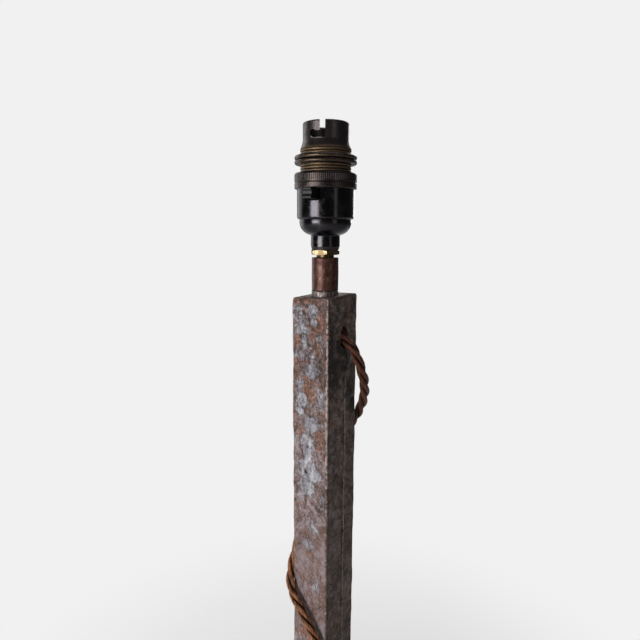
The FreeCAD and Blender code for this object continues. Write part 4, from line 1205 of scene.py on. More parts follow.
# Marks on the seamed face, which is the right one in the main view
RIGHT_BARE = patches(
    (-5.6, 344.8, 7.0, 5.1, 0.5), (7.4, 308.9, 5.3, 8.6, 0.6), (-6.1, 260.5, 7.4, 6.4, 0.4),
    (6.3, 178.4, 5.1, 10.9, 0.5), (-9.0, 186.8, 3.8, 5.2, 0.4),
)
RIGHT_ORANGE = patches(
    (7.3, 343.2, 4.0, 2.1, 0.9), (4.9, 340.5, 3.3, 1.8, 0.7), (-8.3, 277.9, 3.6, 4.7, 0.6),
    (-4.0, 190.2, 3.8, 5.2, 0.6), (-8.5, 257.3, 3.7, 4.8, 0.5),
)
# Painted shadow of the flex on the seamed face below its slot, and painted shade by the near corner
RIGHT_PAINTED_SHADOW = patches(
    (-10.9, 316.4, 2.8, 19.2, 0.8), (-0.5, 322.7, 4.0, 4.5), (1.3, 310.2, 3.6, 9.2, 0.6),
    (6.1, 294.3, 4.1, 5.5, 0.8), (9.9, 286.1, 3.1, 4.0), (-5.8, 307.9, 6.0, 11.3, 0.5),
)

# Heights at which the seam stands open and how far each gap reaches up and down, in millimetres
SEAM_GAPS = (
    (282.5, 1.0),
    (271.6, 2.4),
    (265.0, 2.2),
    (236.0, 4.5),
    (208.0, 5.5),
    (192.0, 4.0),
    (180.0, 2.5),
    (158.0, 4.0),
    (120.0, 6.0),
    (80.0, 5.0),
)


@dataclass
class Post:
    """The square iron post, its open seam and the plate in its top."""

    width: float = 0.027
    corner: float = 0.0009
    corner_steps: int = 3
    wall: float = 0.0025
    foot: float = 0.012
    top: float = 0.352
    top_round: float = 0.0006
    top_slope: Span = (0.05, 0.0365)
    crooked: float = 0.02
    face_share: float = 0.45
    flat_cuts: int = 23
    height_cuts: tuple[int, int] = (19, 15)
    sharp: float = 50.0
    seam_across: float = 0.0019
    seam_half: float = 0.0007
    seam_depth: float = 0.0014
    seam_lip: float = 0.00025
    seam_sway: float = 0.0010
    seam_sway_height: float = 0.030
    seam_cuts: int = 3
    seam_cut_reach: float = 0.0021
    ridge_away: float = 0.0010
    ridge_half: float = 0.0009
    slot_across: float = 0.0020
    slot_half: float = 0.0038
    slot_low: float = 0.3221
    slot_high: float = 0.3361
    slot_depth: float = 0.012
    slot_sides: int = 32
    slot_taper: float = 0.35
    cap_width: float = 0.0218
    cap_thickness: float = 0.004
    cap_round: float = 0.0006
    cap_steps: int = 2
    cap_cuts: int = 12
    warp: Swell = Swell(0.030, 2, 0.00030)
    scale: Swell = Swell(0.007, 4, 0.00026)
    flakes: Swell = Swell(0.009)
    flake_depth: float = 0.00016
    nibbled: Swell = Swell(0.016, 3, 0.0005)
    cap_relief: Swell = Swell(0.006, 3, 0.00025)
    far_marks: Swell = Swell(0.016, 2)
    clouds: Swell = Swell(0.022)
    rough_height: Span = (0.17, 0.26)
    bare_height: Span = (0.19, 0.25)
    orange_height: Span = (0.24, 0.32)
    calm_height: Span = (0.235, 0.195)
    lower_height: Span = (0.165, 0.13)
    worn_height: Span = (0.21, 0.29)
    ridge_height: Span = (0.312, 0.296)
    groove_height: Span = (0.315, 0.30)
    # Where the stain-and-shade mark darkens: the lit face towards its top and, as painted shade, along its
    # far edge; the seamed face, as painted shade, towards its top and by the near corner
    left_dark_height: Span = (0.27, 0.32)
    right_dark_height: Span = (0.28, 0.33)
    left_dark_edge: Span = (-0.0118, -0.0132)
    right_dark_edge: Span = (-0.0098, -0.0126)
    iron: PostIron = PostIron("post_iron")
    cap_iron: RustyIron = RustyIron("cap_iron")

    def build(self) -> None:
        """Builds the post and the plate in its top."""
        self.shell()
        self.cap()

    def slope(self, place: Vector) -> float:
        """Gives how far the crooked top lies above its plain height at a place."""
        along, across = self.top_slope
        return along * (place.x - self.width / 2) + across * (place.y + self.width / 2)

    def shell(self) -> None:
        """Builds the tube with its relief, marks and slot."""
        middle = (self.foot + self.top) / 2
        tube = Workpiece.box("post_tube", (self.width, self.width, self.top - self.foot), (0, 0, middle))
        tube.open_ends(Axis.Z)
        tube.bevel(self.corner, self.corner_steps, along_z)
        tube.cut(self.flat_cuts, is_long_level)
        tube.cut(self.seam_cuts, self.crosses_seam)
        for count in self.height_cuts:
            tube.cut(count, along_z)
        tube.reshape(self.relief)
        for mark in (self.bare, self.orange, self.calm, self.rubbed_and_highlit, self.stain_and_shade, self.line):
            tube.mark(mark.__name__, mark)
        tube.apply("SOLIDIFY", thickness=self.wall, offset=-1.0)
        tube.mend()
        self.cut_slot(tube)
        tube.smooth(self.sharp)
        tube.hand_over(Slot.IRON, self.iron, "post")

    def crosses_seam(self, edge: Any) -> bool:
        """Says whether a level edge lies on the seam.

        Args:
            edge: an edge of the tube.

        Returns:
            Whether it does.
        """
        first, second = (vertex.co for vertex in edge.verts)
        near = abs((first.y + second.y) / 2 - self.seam_across) < self.seam_cut_reach
        return is_level(edge) and near and min(first.x, second.x) > 0.4 * self.width

    def seam_line(self, height: float) -> float:
        """Gives the seam's place across its face at a height."""
        sway = noise.noise(Vector((0.3, 7.1, height / self.seam_sway_height)))
        return self.seam_across + self.seam_sway * sway

    def seam_gap(self, height: float) -> float:
        """Gives how far the seam stands open at a height."""
        return max(smooth_step(1.5, 0.8, abs(height / MM - middle) / half) for middle, half in SEAM_GAPS)

    def relief(self, place: Vector, normal: Vector) -> Vector:
        """Gives the worn surface's move at a place.

        Args:
            place: a vertex's place.
            normal: the vertex's normal.

        Returns:
            The move, which stays near the plain tube.
        """
        flat = Vector((normal.x, normal.y, 0)).normalized()
        rough = 0.35 + 0.65 * smooth_step(*self.rough_height, place.z)
        tall = squeezed(place, 0.6)
        lift = self.warp.at(tall) + rough * self.scale.at(tall)
        flake = smooth_step(0.08, 0.16, self.flakes.at(tall + Vector((0.2, 0.1, 0.4))))
        lift -= rough * self.flake_depth * flake
        at_corner = smooth_step(0.85, 0.97, 2 * min(abs(place.x), abs(place.y)) / self.width)
        lift += at_corner * self.nibbled.at(place)
        if normal.x > ON_AXIS:
            away = abs(place.y - self.seam_line(place.z)) / self.seam_half
            lift -= self.seam_depth * (0.25 + 0.75 * self.seam_gap(place.z)) * smooth_step(1.0, 0.1, away)
            lift += self.seam_lip * smooth_step(0.4, 1.2, away) * smooth_step(3.5, 1.4, away)
        move = flat * lift
        move -= flat * self.top_round * smooth_step(self.top - 2 * self.top_round, self.top, place.z)
        move.z = self.slope(place) * smooth_step(self.top - self.crooked, self.top, place.z)
        return move

    def on_left(self, place: Vector) -> bool:
        """Says whether a place is on the lit face."""
        return place.y < -self.face_share * self.width

    def on_right(self, place: Vector) -> bool:
        """Says whether a place is on the seamed face."""
        return place.x > self.face_share * self.width and not self.on_left(place)

    def patched(self, place: Vector, left: Patches, right: Patches, other: float) -> float:
        """Gives the strength of a kind of mark at a place.

        Args:
            place: the place on the post.
            left: marks on the lit face.
            right: marks on the seamed face.
            other: strength of the scattered marks on the faces behind.

        Returns:
            The strength.
        """
        up = place.z / MM
        if self.on_left(place):
            return max((patch.value(place.x / MM, up) for patch in left), default=0.0)
        if self.on_right(place):
            return max((patch.value(place.y / MM, up) for patch in right), default=0.0)
        return other * smooth_step(0.02, 0.35, self.far_marks.at(squeezed(place) + Vector((0.7, 0.2, other))))

    def low_clouds(self, place: Vector, seed: float) -> float:
        """Gives broad clouds on the lower post, 0 to 1, with a seed that sets their kinds apart."""
        cloud = self.clouds.at(squeezed(Vector((place.x + seed, place.y, place.z))))
        return smooth_step(*self.lower_height, place.z) * smooth_step(-0.05, 0.3, cloud)

    def bare(self, place: Vector) -> float:
        """Gives the share of bare grey flakes at a place.

        Args:
            place: the place on the post.

        Returns:
            The share.
        """
        share = 0.08 + 0.14 * smooth_step(*self.bare_height, place.z) if self.on_left(place) else 0.06
        share += 0.62 * self.patched(place, LEFT_BARE, RIGHT_BARE, 0.8)
        share += 0.3 * self.low_clouds(place, 0.4)
        return share - 1.2 * self.patched(place, LEFT_HOLES, (), 0.0)

    def orange(self, place: Vector) -> float:
        """Gives the share of orange rust at a place.

        Args:
            place: the place on the post.

        Returns:
            The share.
        """
        share = 0.10 + 0.22 * smooth_step(*self.orange_height, place.z) if self.on_left(place) else 0.10
        share += 0.6 * self.patched(place, LEFT_ORANGE, RIGHT_ORANGE, 0.7)
        return share + 0.4 * self.low_clouds(place, 1.9)

    def calm(self, place: Vector) -> float:
        """Gives how even the rust is at a place: calm in the middle of the post."""
        lower = smooth_step(*self.lower_height, place.z)
        return smooth_step(*self.calm_height, place.z) * (1 - 0.6 * lower)

    def rubbed_and_highlit(self, place: Vector) -> float:
        """Gives how much a corner is rubbed pale at a height: wear, and painted highlight, which is stronger
        on the lit face.
        """
        # The pale corners are stronger on the lit face: painted highlight as well as wear
        lit = 1.0 if self.on_left(place) else 0.4
        return lit * (0.35 + 0.65 * smooth_step(*self.worn_height, place.z))

    def line(self, place: Vector) -> float:
        """Gives the pale ridge along the seam at a place.

        Args:
            place: the place on the post.

        Returns:
            The ridge's strength.
        """
        if not self.on_right(place):
            return 0.0
        away = abs(place.y - self.seam_line(place.z) - self.ridge_away) / self.ridge_half
        return smooth_step(1.0, 0.3, away) * smooth_step(*self.ridge_height, place.z)

    def stain_and_shade(self, place: Vector) -> float:
        """Gives the share of dark stain and painted shade at a place: on the lit face, dark holes, a darker
        top and painted shade along the far edge; on the seamed face, painted shade all over, darker towards
        its top and deepest by the near corner, with the painted shadow of the flex and the dark open seam; an
        even light stain on the faces behind.

        Args:
            place: the place on the post.

        Returns:
            The share.
        """
        if self.on_left(place):
            holes = self.patched(place, LEFT_HOLES, (), 0.0)
            # Painted shade along the lit face's far rounded edge; the face is also darker towards its top
            edge = smooth_step(*self.left_dark_edge, place.x)
            return max(0.35 * edge, 0.42 * smooth_step(*self.left_dark_height, place.z), 0.95 * holes)
        if not self.on_right(place):
            return 0.2
        gap = self.seam_gap(place.z)
        away = abs(place.y - self.seam_line(place.z)) / self.seam_half / (1 + 1.2 * gap)
        groove = (0.6 + 0.7 * gap) * smooth_step(1.2, 0.3, away) * smooth_step(*self.groove_height, place.z)
        # Painted shade, deepest beside the near corner
        edge = 0.95 * smooth_step(*self.right_dark_edge, place.y)
        # Painted shadow of the flex, and painted shade by the near corner
        marks = max(patch.value(place.y / MM, place.z / MM) for patch in RIGHT_PAINTED_SHADOW)
        # Painted shade over the whole seamed face, darker towards its top
        even = 0.36 + 0.12 * smooth_step(*self.right_dark_height, place.z)
        return max(even + 0.7 * marks, groove, edge)

    def cut_slot(self, tube: Workpiece) -> None:
        """Cuts the cord's slot, narrower towards its top, through the seamed wall.

        Args:
            tube: the post.
        """
        middle = (self.slot_low + self.slot_high) / 2
        reach = (self.slot_high - self.slot_low) / 2 - self.slot_half
        place = (self.width / 2, self.slot_across, middle)
        shape = (self.slot_half, self.slot_depth, place, self.slot_sides, (0, math.pi / 2, 0))
        cutter = Workpiece.cylinder("slot_cutter", *shape)

        def narrowed(spot: Vector, _: Vector) -> Vector:
            """Gives the move that draws the slot's upper half in."""
            upper = smooth_step(middle, self.slot_high, spot.z)
            return Vector((0, (self.slot_across - spot.y) * self.slot_taper * upper, 0))

        cutter.reshape(lambda spot, _: Vector((0, 0, reach if spot.z > middle else -reach)))
        cutter.reshape(narrowed)
        tube.apply("BOOLEAN", operation="DIFFERENCE", solver="MANIFOLD", object=cutter.object)
        bpy.data.objects.remove(cutter.object)

    def cap(self) -> None:
        """Builds the plate in the post's top, crooked as the post is."""
        size = (self.cap_width, self.cap_width, self.cap_thickness)
        plate = Workpiece.box("post_top_plate", size, (0, 0, self.top - self.cap_thickness / 2))
        plate.bevel(self.cap_round, self.cap_steps, is_level)
        plate.cut(self.cap_cuts, is_long_level)
        plate.reshape(self.cap_move)
        plate.smooth(self.sharp)
        plate.hand_over(Slot.IRON, self.cap_iron, "post_cap")

    def cap_move(self, place: Vector, normal: Vector) -> Vector:
        """Gives the top plate's move at a place: its slope, and relief on its upper side."""
        return Vector((0, 0, self.slope(place) + self.cap_relief.at(place) * max(normal.z, 0)))


@dataclass
class Foot:
    """The square plate that the post stands on, with its felt pads."""

    plate_width: float = 0.160
    plate_corner: float = 0.005
    corner_steps: int = 6
    corner_slack: float = 1e-5
    plate_low: float = 0.002
    plate_high: float = 0.012
    plate_cuts: int = 15
    fine_cuts: int = 2
    fine_edge: float = 0.004
    rim: float = 0.0008
    rim_steps: int = 2
    sharp: float = 50.0
    dents: Swell = Swell(0.035, 2, 0.0006)
    pits: Swell = Swell(0.010, 2, 0.0003)
    post_reach: float = 0.02
    pad_radius: float = 0.011
    pad_place: float = 0.062
    pad_round: float = 0.0005
    pad_steps: int = 3
    pad_sides: int = 48
    iron: PlateIron = PlateIron("plate_iron")
    felt: Cloth = Cloth("pad_felt")

    def build(self) -> None:
        """Builds the plate and the pads, and dresses the fixings."""
        self.plate()
        self.pads()
        dress_nodes(PLATED_STEEL, "base_washer", "base_bolt", "foot_block")

    def plate(self) -> None:
        """Builds the plate with a hammered, pitted surface."""
        depth = self.plate_high - self.plate_low
        middle = (self.plate_low + self.plate_high) / 2
        plate = Workpiece.box("foot_plate", (self.plate_width, self.plate_width, depth), (0, 0, middle))
        plate.cut(self.plate_cuts, is_level)
        plate.bevel(self.plate_corner, self.corner_steps, self.at_corner)
        plate.bevel(self.rim, self.rim_steps, is_level_rim)
        plate.cut(self.fine_cuts, lambda edge: is_level(edge) and edge.calc_length() > self.fine_edge)
        plate.mend()
        plate.reshape(self.hammered)
        plate.smooth(self.sharp)
        plate.hand_over(Slot.IRON, self.iron, "base_plate")

    def at_corner(self, edge: Any) -> bool:
        """Says whether an edge stands upright at a corner of the plate."""
        reach = self.plate_width / 2 - self.corner_slack
        return along_z(edge) and all(min(abs(end.co.x), abs(end.co.y)) > reach for end in edge.verts)

    def hammered(self, place: Vector, normal: Vector) -> Vector:
        """Gives the plate's unevenness at a place; its underside and the post's seat stay plain.

        Args:
            place: a vertex's place.
            normal: the vertex's normal.

        Returns:
            The move.
        """
        if max(abs(place.x), abs(place.y)) < self.post_reach or normal.z < -0.5:
            return Vector((0, 0, 0))
        return normal * (self.dents.at(place) + self.pits.at(place))

    def pads(self) -> None:
        """Builds one pad and copies it to the plate's corners."""
        out = self.pad_place
        place = (out, out, self.plate_low / 2)
        pad = Workpiece.cylinder("felt_feet", self.pad_radius, self.plate_low, place, self.pad_sides)
        pad.bevel(self.pad_round, self.pad_steps, is_level_rim)
        with pad.editing():
            for step in ((-2 * out, 0, 0), (0, -2 * out, 0)):
                bpy.ops.mesh.select_all(action="SELECT")
                bpy.ops.mesh.duplicate_move(TRANSFORM_OT_translate={"value": step})
        pad.smooth()
        pad.hand_over(Slot.FELT, self.felt, "felt_pads")


@dataclass
class Spigot:
    """The short tube on the post, its collar, and the nipple and nut above it."""

    tube_radius: float = 0.00765
    tube_low: float = 0.3548
    tube_high: float = 0.3739
    collar_radius: float = 0.00775
    collar_low: float = 0.3512
    bore_radius: float = 0.0051
    rim: float = 0.0004
    rim_steps: int = 2
    cut_height: float = 0.0008
    least_cuts: int = 3
    skin: Swell = Swell(0.006, 3, 0.00018)
    skin_from: float = 0.006
    tube_iron: BrownedIron = BrownedIron("spigot_iron")
    collar_iron: BrownedIron = BrownedIron(
        "collar_iron", srgb(36, 28, 25), srgb(104, 92, 88), srgb(190, 180, 176)
    )
    nipple: WornMetal = WornMetal("nipple_brass", srgb(92, 76, 52), srgb(48, 38, 28), 0.35, 0.5)
    brass: WornMetal = WornMetal("nut_brass", srgb(110, 95, 72), srgb(84, 68, 48), 0.25, 0.4)

    def build(self) -> None:
        """Builds the tube and the collar, and dresses the nipple and the nut."""
        pipe = self.turned("spigot_pipe", self.tube_radius, self.tube_low, self.tube_high)
        pipe.hand_over(Slot.IRON, self.tube_iron, "spigot_tube")
        weld = self.turned("spigot_weld", self.collar_radius, self.collar_low, self.tube_low)
        weld.hand_over(Slot.IRON, self.collar_iron, "spigot_collar")
        dress_nodes(self.nipple, "nipple")
        dress_nodes(self.brass, "lock_nut")

    def turned(self, name: str, radius: float, low: float, high: float) -> Workpiece:
        """Builds a round piece with a bore and an uneven skin.

        Args:
            name: the piece's name.
            radius: its outer radius.
            low: height of its foot.
            high: height of its top.

        Returns:
            The new piece.
        """
        piece = Workpiece.cylinder(name, radius, high - low, (0, 0, (low + high) / 2))
        with piece.editing(Part.FACES, lambda face: abs(face.normal.z) > ON_AXIS):
            bpy.ops.mesh.inset(thickness=radius - self.bore_radius)
            bpy.ops.mesh.bridge_edge_loops()
        piece.bevel(self.rim, self.rim_steps, is_level_rim)
        piece.cut(max(self.least_cuts, round((high - low) / self.cut_height)), along_z)
        piece.mend()
        piece.reshape(self.uneven)
        piece.smooth()
        return piece

    def uneven(self, place: Vector, normal: Vector) -> Vector:
        """Gives the outer skin's unevenness at a place; the bore stays plain."""
        lift = self.skin.at(squeezed(place)) if place.xy.length > self.skin_from else 0.0
        return Vector((normal.x, normal.y, 0)) * lift


@dataclass
class Lampholder:
    """The black bronze lampholder with its moulded inside and its switch."""

    wire_radius: float = 0.00025
    wire_sides: int = 10
    spring_coils: int = 5
    spring_steps: int = 24
    skin: BlackBronze = BlackBronze("bronze_skin")
    bush: BlackBronze = BlackBronze("bronze_bush", 0.0076, 0.0086, 0.8, 0.36, 0.46)
    union: BlackBronze = BlackBronze(
        "bronze_union", 0.01735, 0.01760, 1.0, 0.3, 0.42, srgb(120, 98, 72), srgb(54, 50, 52)
    )
    thread: BlackBronze = BlackBronze(
        "bronze_thread", 0.01360, 0.01420, 0.35, 0.32, 0.42, srgb(160, 133, 100), srgb(84, 76, 76)
    )
    ring: BlackBronze = BlackBronze("bronze_ring", 0.01690, 0.01750, 0.7, 0.24, 0.36, srgb(120, 98, 72))
    brass: WornMetal = WornMetal("contact_brass", srgb(206, 176, 118), srgb(140, 108, 66))
    block: Moulding = Moulding("block_moulding")
    bar: Moulding = Moulding("bar_moulding", srgb(14, 13, 15), srgb(40, 38, 38), 0.34, 0.48, 0.16)

    def build(self) -> None:
        """Dresses the solids of the lampholder and winds its springs."""
        dress_nodes(self.skin, "cap_shell")
        dress_nodes(self.bush, "entry_bush")
        dress_nodes(self.union, "union_ring")
        dress_nodes(self.thread, "lamp_sleeve")
        dress_nodes(self.ring, "shade_ring")
        dress_nodes(self.block, "insulator_block")
        dress_nodes(self.bar, "push_bar")
        dress_nodes(self.brass, "switch_bridge", "live_plunger", "neutral_plunger")
        dress_nodes(self.brass, "live_terminal", "neutral_terminal", "earth_lug")
        dress_nodes(PLATED_STEEL, "terminal_screws", "earth_screw")
        self.spring("live_spring", Body.LIVE_PLUNGER)
        self.spring("neutral_spring", Body.NEUTRAL_PLUNGER)

    def spring(self, node: str, plunger: Body) -> None:
        """Winds a spring in the box of its solid.

        Args:
            node: the solid that it stands for.
            plunger: not used.
        """
        low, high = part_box(node)
        seat = Vector(((low.x + high.x) / 2, (low.y + high.y) / 2, low.z))
        wire, steps = self.wire_radius, self.spring_steps
        reach = (high.x - low.x) / 2 - wire
        rise = (high.z - low.z - 2 * wire) / self.spring_coils
        bpy.ops.mesh.primitive_circle_add(
            vertices=self.wire_sides, radius=wire, location=(reach, 0, 0), rotation=(math.pi / 2, 0, 0)
        )
        wound = Workpiece(f"{node}_wire")
        wound.apply("SCREW", screw_offset=rise, iterations=self.spring_coils, steps=steps, render_steps=steps)
        with wound.editing():
            bpy.ops.mesh.fill_holes(sides=0)
            bpy.ops.mesh.select_all(action="SELECT")
            bpy.ops.transform.translate(value=(seat.x, seat.y, seat.z + wire))
        wound.mend()
        wound.smooth()
        PLATED_STEEL.dress(wound.object)
        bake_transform(wound.object)
        wound.enter(Slot.STEEL, node)


# Control points of the flex, from its slot in the post to the coil, as chosen for the solids
WRAP_POINTS: tuple[Point, ...] = (
    (0.0135, 0.002, 0.3276),
    (0.02025, 0.003, 0.3214),
    (0.0232, 0.0044, 0.3126),
    (0.0229, 0.0094, 0.3023),
    (0.0184, 0.0158, 0.2899),
    (0.0105, 0.0196, 0.2762),
    (0.0005, 0.021, 0.263),
    (-0.0092, 0.0204, 0.2486),
    (-0.0176, 0.0154, 0.2326),
    (-0.0212, 0.0068, 0.216),
    (-0.0198, -0.0004, 0.1995),
    (-0.018, -0.006, 0.1836),
    (-0.0184, -0.012, 0.1706),
    (-0.0138, -0.0182, 0.1598),
    (-0.0042, -0.0189, 0.1502),
    (0.0066, -0.019, 0.1392),
    (0.0158, -0.0172, 0.1282),
    (0.0218, -0.0088, 0.1168),
    (0.023, 0.0022, 0.1056),
    (0.0194, 0.013, 0.0946),
    (0.0108, 0.0206, 0.0842),
    (-0.0004, 0.0234, 0.0744),
    (-0.0118, 0.0208, 0.065),
    (-0.0202, 0.0126, 0.0564),
    (-0.0232, 0.0014, 0.0486),
    (-0.021, -0.0104, 0.0412),
    (-0.0132, -0.0192, 0.034),
    (-0.002, -0.0234, 0.0272),
    (0.0104, -0.025, 0.0214),
    (0.024, -0.025, 0.0172),
    (0.038, -0.024, 0.0154),
    (0.052, -0.022, 0.0151),
    (0.065, -0.0192, 0.0154),
    (0.077, -0.0162, 0.0158),
    (0.088, -0.0134, 0.0134),
    (0.0986, -0.0112, 0.009),
    (0.109, -0.0099, 0.0056),
    (0.1178, -0.0094, 0.0042),
    (0.126, -0.0094, 0.0042),
)

# Steps from the coil's end to the plug
TAIL_STEPS: tuple[Point, ...] = (
    (0.0, 0.0, 0.0),
    (0.0142, 0.0, 0.0),
    (0.0258, -0.0084, -0.0024),
    (0.0302, -0.0221, -0.0054),
    (0.0258, -0.0358, -0.007),
    (0.0142, -0.0442, -0.0058),
    (0.0002, -0.0442, -0.002),
    (-0.0123, -0.0442, -0.002),
)


@dataclass
class Flex:
    """The twisted flex: out of the post, round it, along the table to a tied coil, and on to the plug."""

    diameter: float = 0.006
    strand_radius: float = 0.00140
    strand_offset: float = 0.00160
    strands: int = 3
    sides: int = 10
    lay: float = 0.033
    first_turn: float = 0.1
    line_order: int = 3
    line_steps: int = 12
    sharp: float = 60.0
    inside: tuple[Point, ...] = ((0.0, 0.0, 0.3887), (0, 0, 0.37), (0, 0, 0.355), (0.0, 0.0, 0.346))
    bend: Point = (0.0, 0.0, 0.340)
    snug_pull: float = 0.0012
    snug_lift: float = 0.005
    snug_from: Span = (0.112, 0.140)
    snug_to: Span = (0.185, 0.225)
    coil_lead: float = 0.006
    coil_radius: float = 0.041
    coil_turns_in: int = 3
    coil_step: float = 0.0065
    coil_layer: float = 0.0065
    coil_climb: float = 0.5
    points_per_turn: int = 16
    length: float = 1.84
    tie_across: float = 0.06285
    tie_width: float = 0.008
    tie_reach: float = 0.0111
    tie_low: float = 0.0000
    tie_high: float = 0.0149
    tie_thickness: float = 0.0008
    tie_corner: float = 0.0034
    tie_corner_steps: int = 6
    tie_round: float = 0.0002
    tie_steps: int = 2
    tie_rim_angle: float = 1.2
    stud_radius: float = 0.0028
    stud_high: float = 0.0159
    stud_round: float = 0.0006
    stud_steps: int = 4
    stud_sides: int = 40
    stud_sharp: float = 50.0
    silk: Braid = Braid("braided_silk")
    leather: Cloth = Cloth(
        "strap_hide", srgb(78, 48, 34), srgb(120, 80, 56), Clouds(1400, 5, 0.7, 0.6), 0.0002, 0.05
    )
    brass: WornMetal = WornMetal("stud_brass")
    cores: tuple[tuple[str, Moulding], ...] = (
        ("live_core", Moulding("core_brown", srgb(104, 62, 42), srgb(140, 96, 72))),
        ("neutral_core", Moulding("core_blue", srgb(52, 84, 138), srgb(96, 124, 168))),
        ("earth_core", Moulding("core_green", srgb(104, 140, 56), srgb(150, 176, 96))),
    )

    def build(self, plug: "Plug") -> None:
        """Builds the free flex, the length inside the lamp and the tie.

        Args:
            plug: the plug on its far end.
        """
        tie = self.tie()
        route = self.route()
        free = self.rope("flex_free", route)
        free.hand_over(Slot.BRAID, self.silk, "cord_wrap", "cord_coil", "cord_tail")
        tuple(WRAP_POINTS[0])
        [tuple(place) for place in route]
        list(plug.pieces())
        inside = self.rope("flex_inside", self.line(self.inside))
        inside.hand_over(Slot.BRAID, self.silk, "cord_inside")
        for node, finish in self.cores:
            dress_nodes(finish, node)

    def route(self) -> list[Vector]:
        """Gives the free flex's line, smooth from the post to the plug.

        Returns:
            Places along the line, in order.
        """
        points = [self.inside[-1], self.bend, *(self.snug(point) for point in WRAP_POINTS)]
        first = Vector(WRAP_POINTS[-1]) + Vector((self.coil_lead, 0, 0))
        middle = first + Vector((0, self.coil_radius, 0))
        spread = math.cos(math.pi / self.points_per_turn)
        for number in range(2 * self.coil_turns_in * self.points_per_turn):
            turn = (number + 0.5) / self.points_per_turn
            radius = self.coil_radius - self.coil_step * (self.coil_turns_in - abs(turn - self.coil_turns_in))
            climbed = min(max((turn - self.coil_turns_in) / self.coil_climb + 0.5, 0.0), 1.0)
            rise = self.coil_layer * (1 - math.cos(math.pi * climbed)) / 2
            angle = math.tau * turn - math.pi / 2
            reach = radius / spread
            points.append(tuple(middle + Vector((reach * math.cos(angle), reach * math.sin(angle), rise))))
        end = first + Vector((self.coil_lead, 0, self.coil_layer))
        points += [tuple(end + Vector(step)) for step in TAIL_STEPS]
        return self.line(points)

    def snug(self, point: Point) -> Point:
        """Draws a point of the solid's route closer to the post where the silk is wound tight.

        Args:
            point: the point on the route.

        Returns:
            The point, which is pulled in and lifted if it lies about half way up the post.
        """
        place = Vector(point)
        tight = smooth_step(*self.snug_from, place.z) * (1 - smooth_step(*self.snug_to, place.z))
        place.xy *= 1 - tight * self.snug_pull / place.xy.length
        place.z += tight * self.snug_lift
        return tuple(place)

    def line(self, points: Sequence[Point]) -> list[Vector]:
        """Draws one smooth line that follows its control points.

        Args:
            points: the control points.

        Returns:
            Places along the line, in order.
        """
        data = bpy.data.curves.new("flex_line", "CURVE")
        data.dimensions = "3D"
        spline = data.splines.new("NURBS")
        spline.points.add(len(points) - 1)
        for control, place in zip(spline.points, points):
            control.co = (*place, 1.0)
        spline.order_u = self.line_order
        spline.use_endpoint_u = True
        spline.resolution_u = self.line_steps
        drawn = bpy.data.objects.new("flex_line", data)
        mesh = bpy.data.meshes.new_from_object(drawn)
        places = [vertex.co.copy() for vertex in mesh.vertices]
        bpy.data.meshes.remove(mesh)
        bpy.data.objects.remove(drawn)
        bpy.data.curves.remove(data)
        return places

    def rope(self, name: str, route: list[Vector]) -> Workpiece:
        """Twists strands round a line.

        Args:
            name: the piece's name.
            route: places along the line.

        Returns:
            The rope, with the strands' own map for their braid.
        """
        lengths = ((after - before).length for before, after in zip(route, route[1:]))
        run = list(accumulate(lengths, initial=0.0))
        vertices, faces, spots = [], [], []
        for strand in range(self.strands):
            strand_faces, strand_spots = self.skin(run, len(vertices))
            faces += strand_faces
            spots += strand_spots
            vertices += self.corners(route, run, strand)
        reach = self.strand_offset + self.strand_radius
        middles = [place for place in route for _ in range(self.sides)] * self.strands
        outward = [(corner - middle).length / reach for corner, middle in zip(vertices, middles)]
        data = bpy.data.meshes.new(name)
        data.from_pydata(vertices, [], faces)
        data.uv_layers.new(name="strand").data.foreach_set("uv", [part for spot in spots for part in spot])
        data.attributes.new("outward", "FLOAT", "POINT").data.foreach_set("value", outward)
        made = bpy.data.objects.new(name, data)
        bpy.context.scene.collection.objects.link(made)
        bpy.ops.object.select_all(action="DESELECT")
        made.select_set(True)
        bpy.context.view_layer.objects.active = made
        piece = Workpiece(name)
        with piece.editing():
            bpy.ops.mesh.normals_make_consistent(inside=False)
        piece.smooth(self.sharp)
        return piece

    def sides_of(self, route: list[Vector]) -> Iterator[tuple[Vector, Vector, Vector]]:
        """Gives the way of a line at each of its places, with two sides that turn only as the line does.

        Args:
            route: places along the line.

        Yields:
            The way and the two sides.
        """
        steps = [(after - before).normalized() for before, after in zip(route, route[1:])]
        turns = [(before + after).normalized() for before, after in zip(steps, steps[1:])]
        side = steps[0].orthogonal().normalized()
        for way in (steps[0], *turns, steps[-1]):
            side = (side - way * side.dot(way)).normalized()
            yield way, side, way.cross(side)

    def corners(self, route: list[Vector], run: list[float], strand: int) -> list[Vector]:
        """Gives the corners round one strand, ring after ring.

        Args:
            route: places along the rope's line.
            run: length of the line up to each place.
            strand: number of the strand.

        Returns:
            The corners.
        """
        turns = [math.tau * corner / self.sides for corner in range(self.sides)]
        made = []
        for place, length, (way, first, second) in zip(route, run, self.sides_of(route)):
            angle = math.tau * (strand / self.strands - length / self.lay + self.first_turn)
            spoke = first * math.cos(angle) + second * math.sin(angle)
            across = second * math.cos(angle) - first * math.sin(angle)
            lean = way * self.lay - across * (math.tau * self.strand_offset)
            rise = spoke.cross(lean.normalized())
            middle = place + spoke * self.strand_offset
            spread = (spoke * math.cos(turn) + rise * math.sin(turn) for turn in turns)
            made += [middle + out * self.strand_radius for out in spread]
        return made

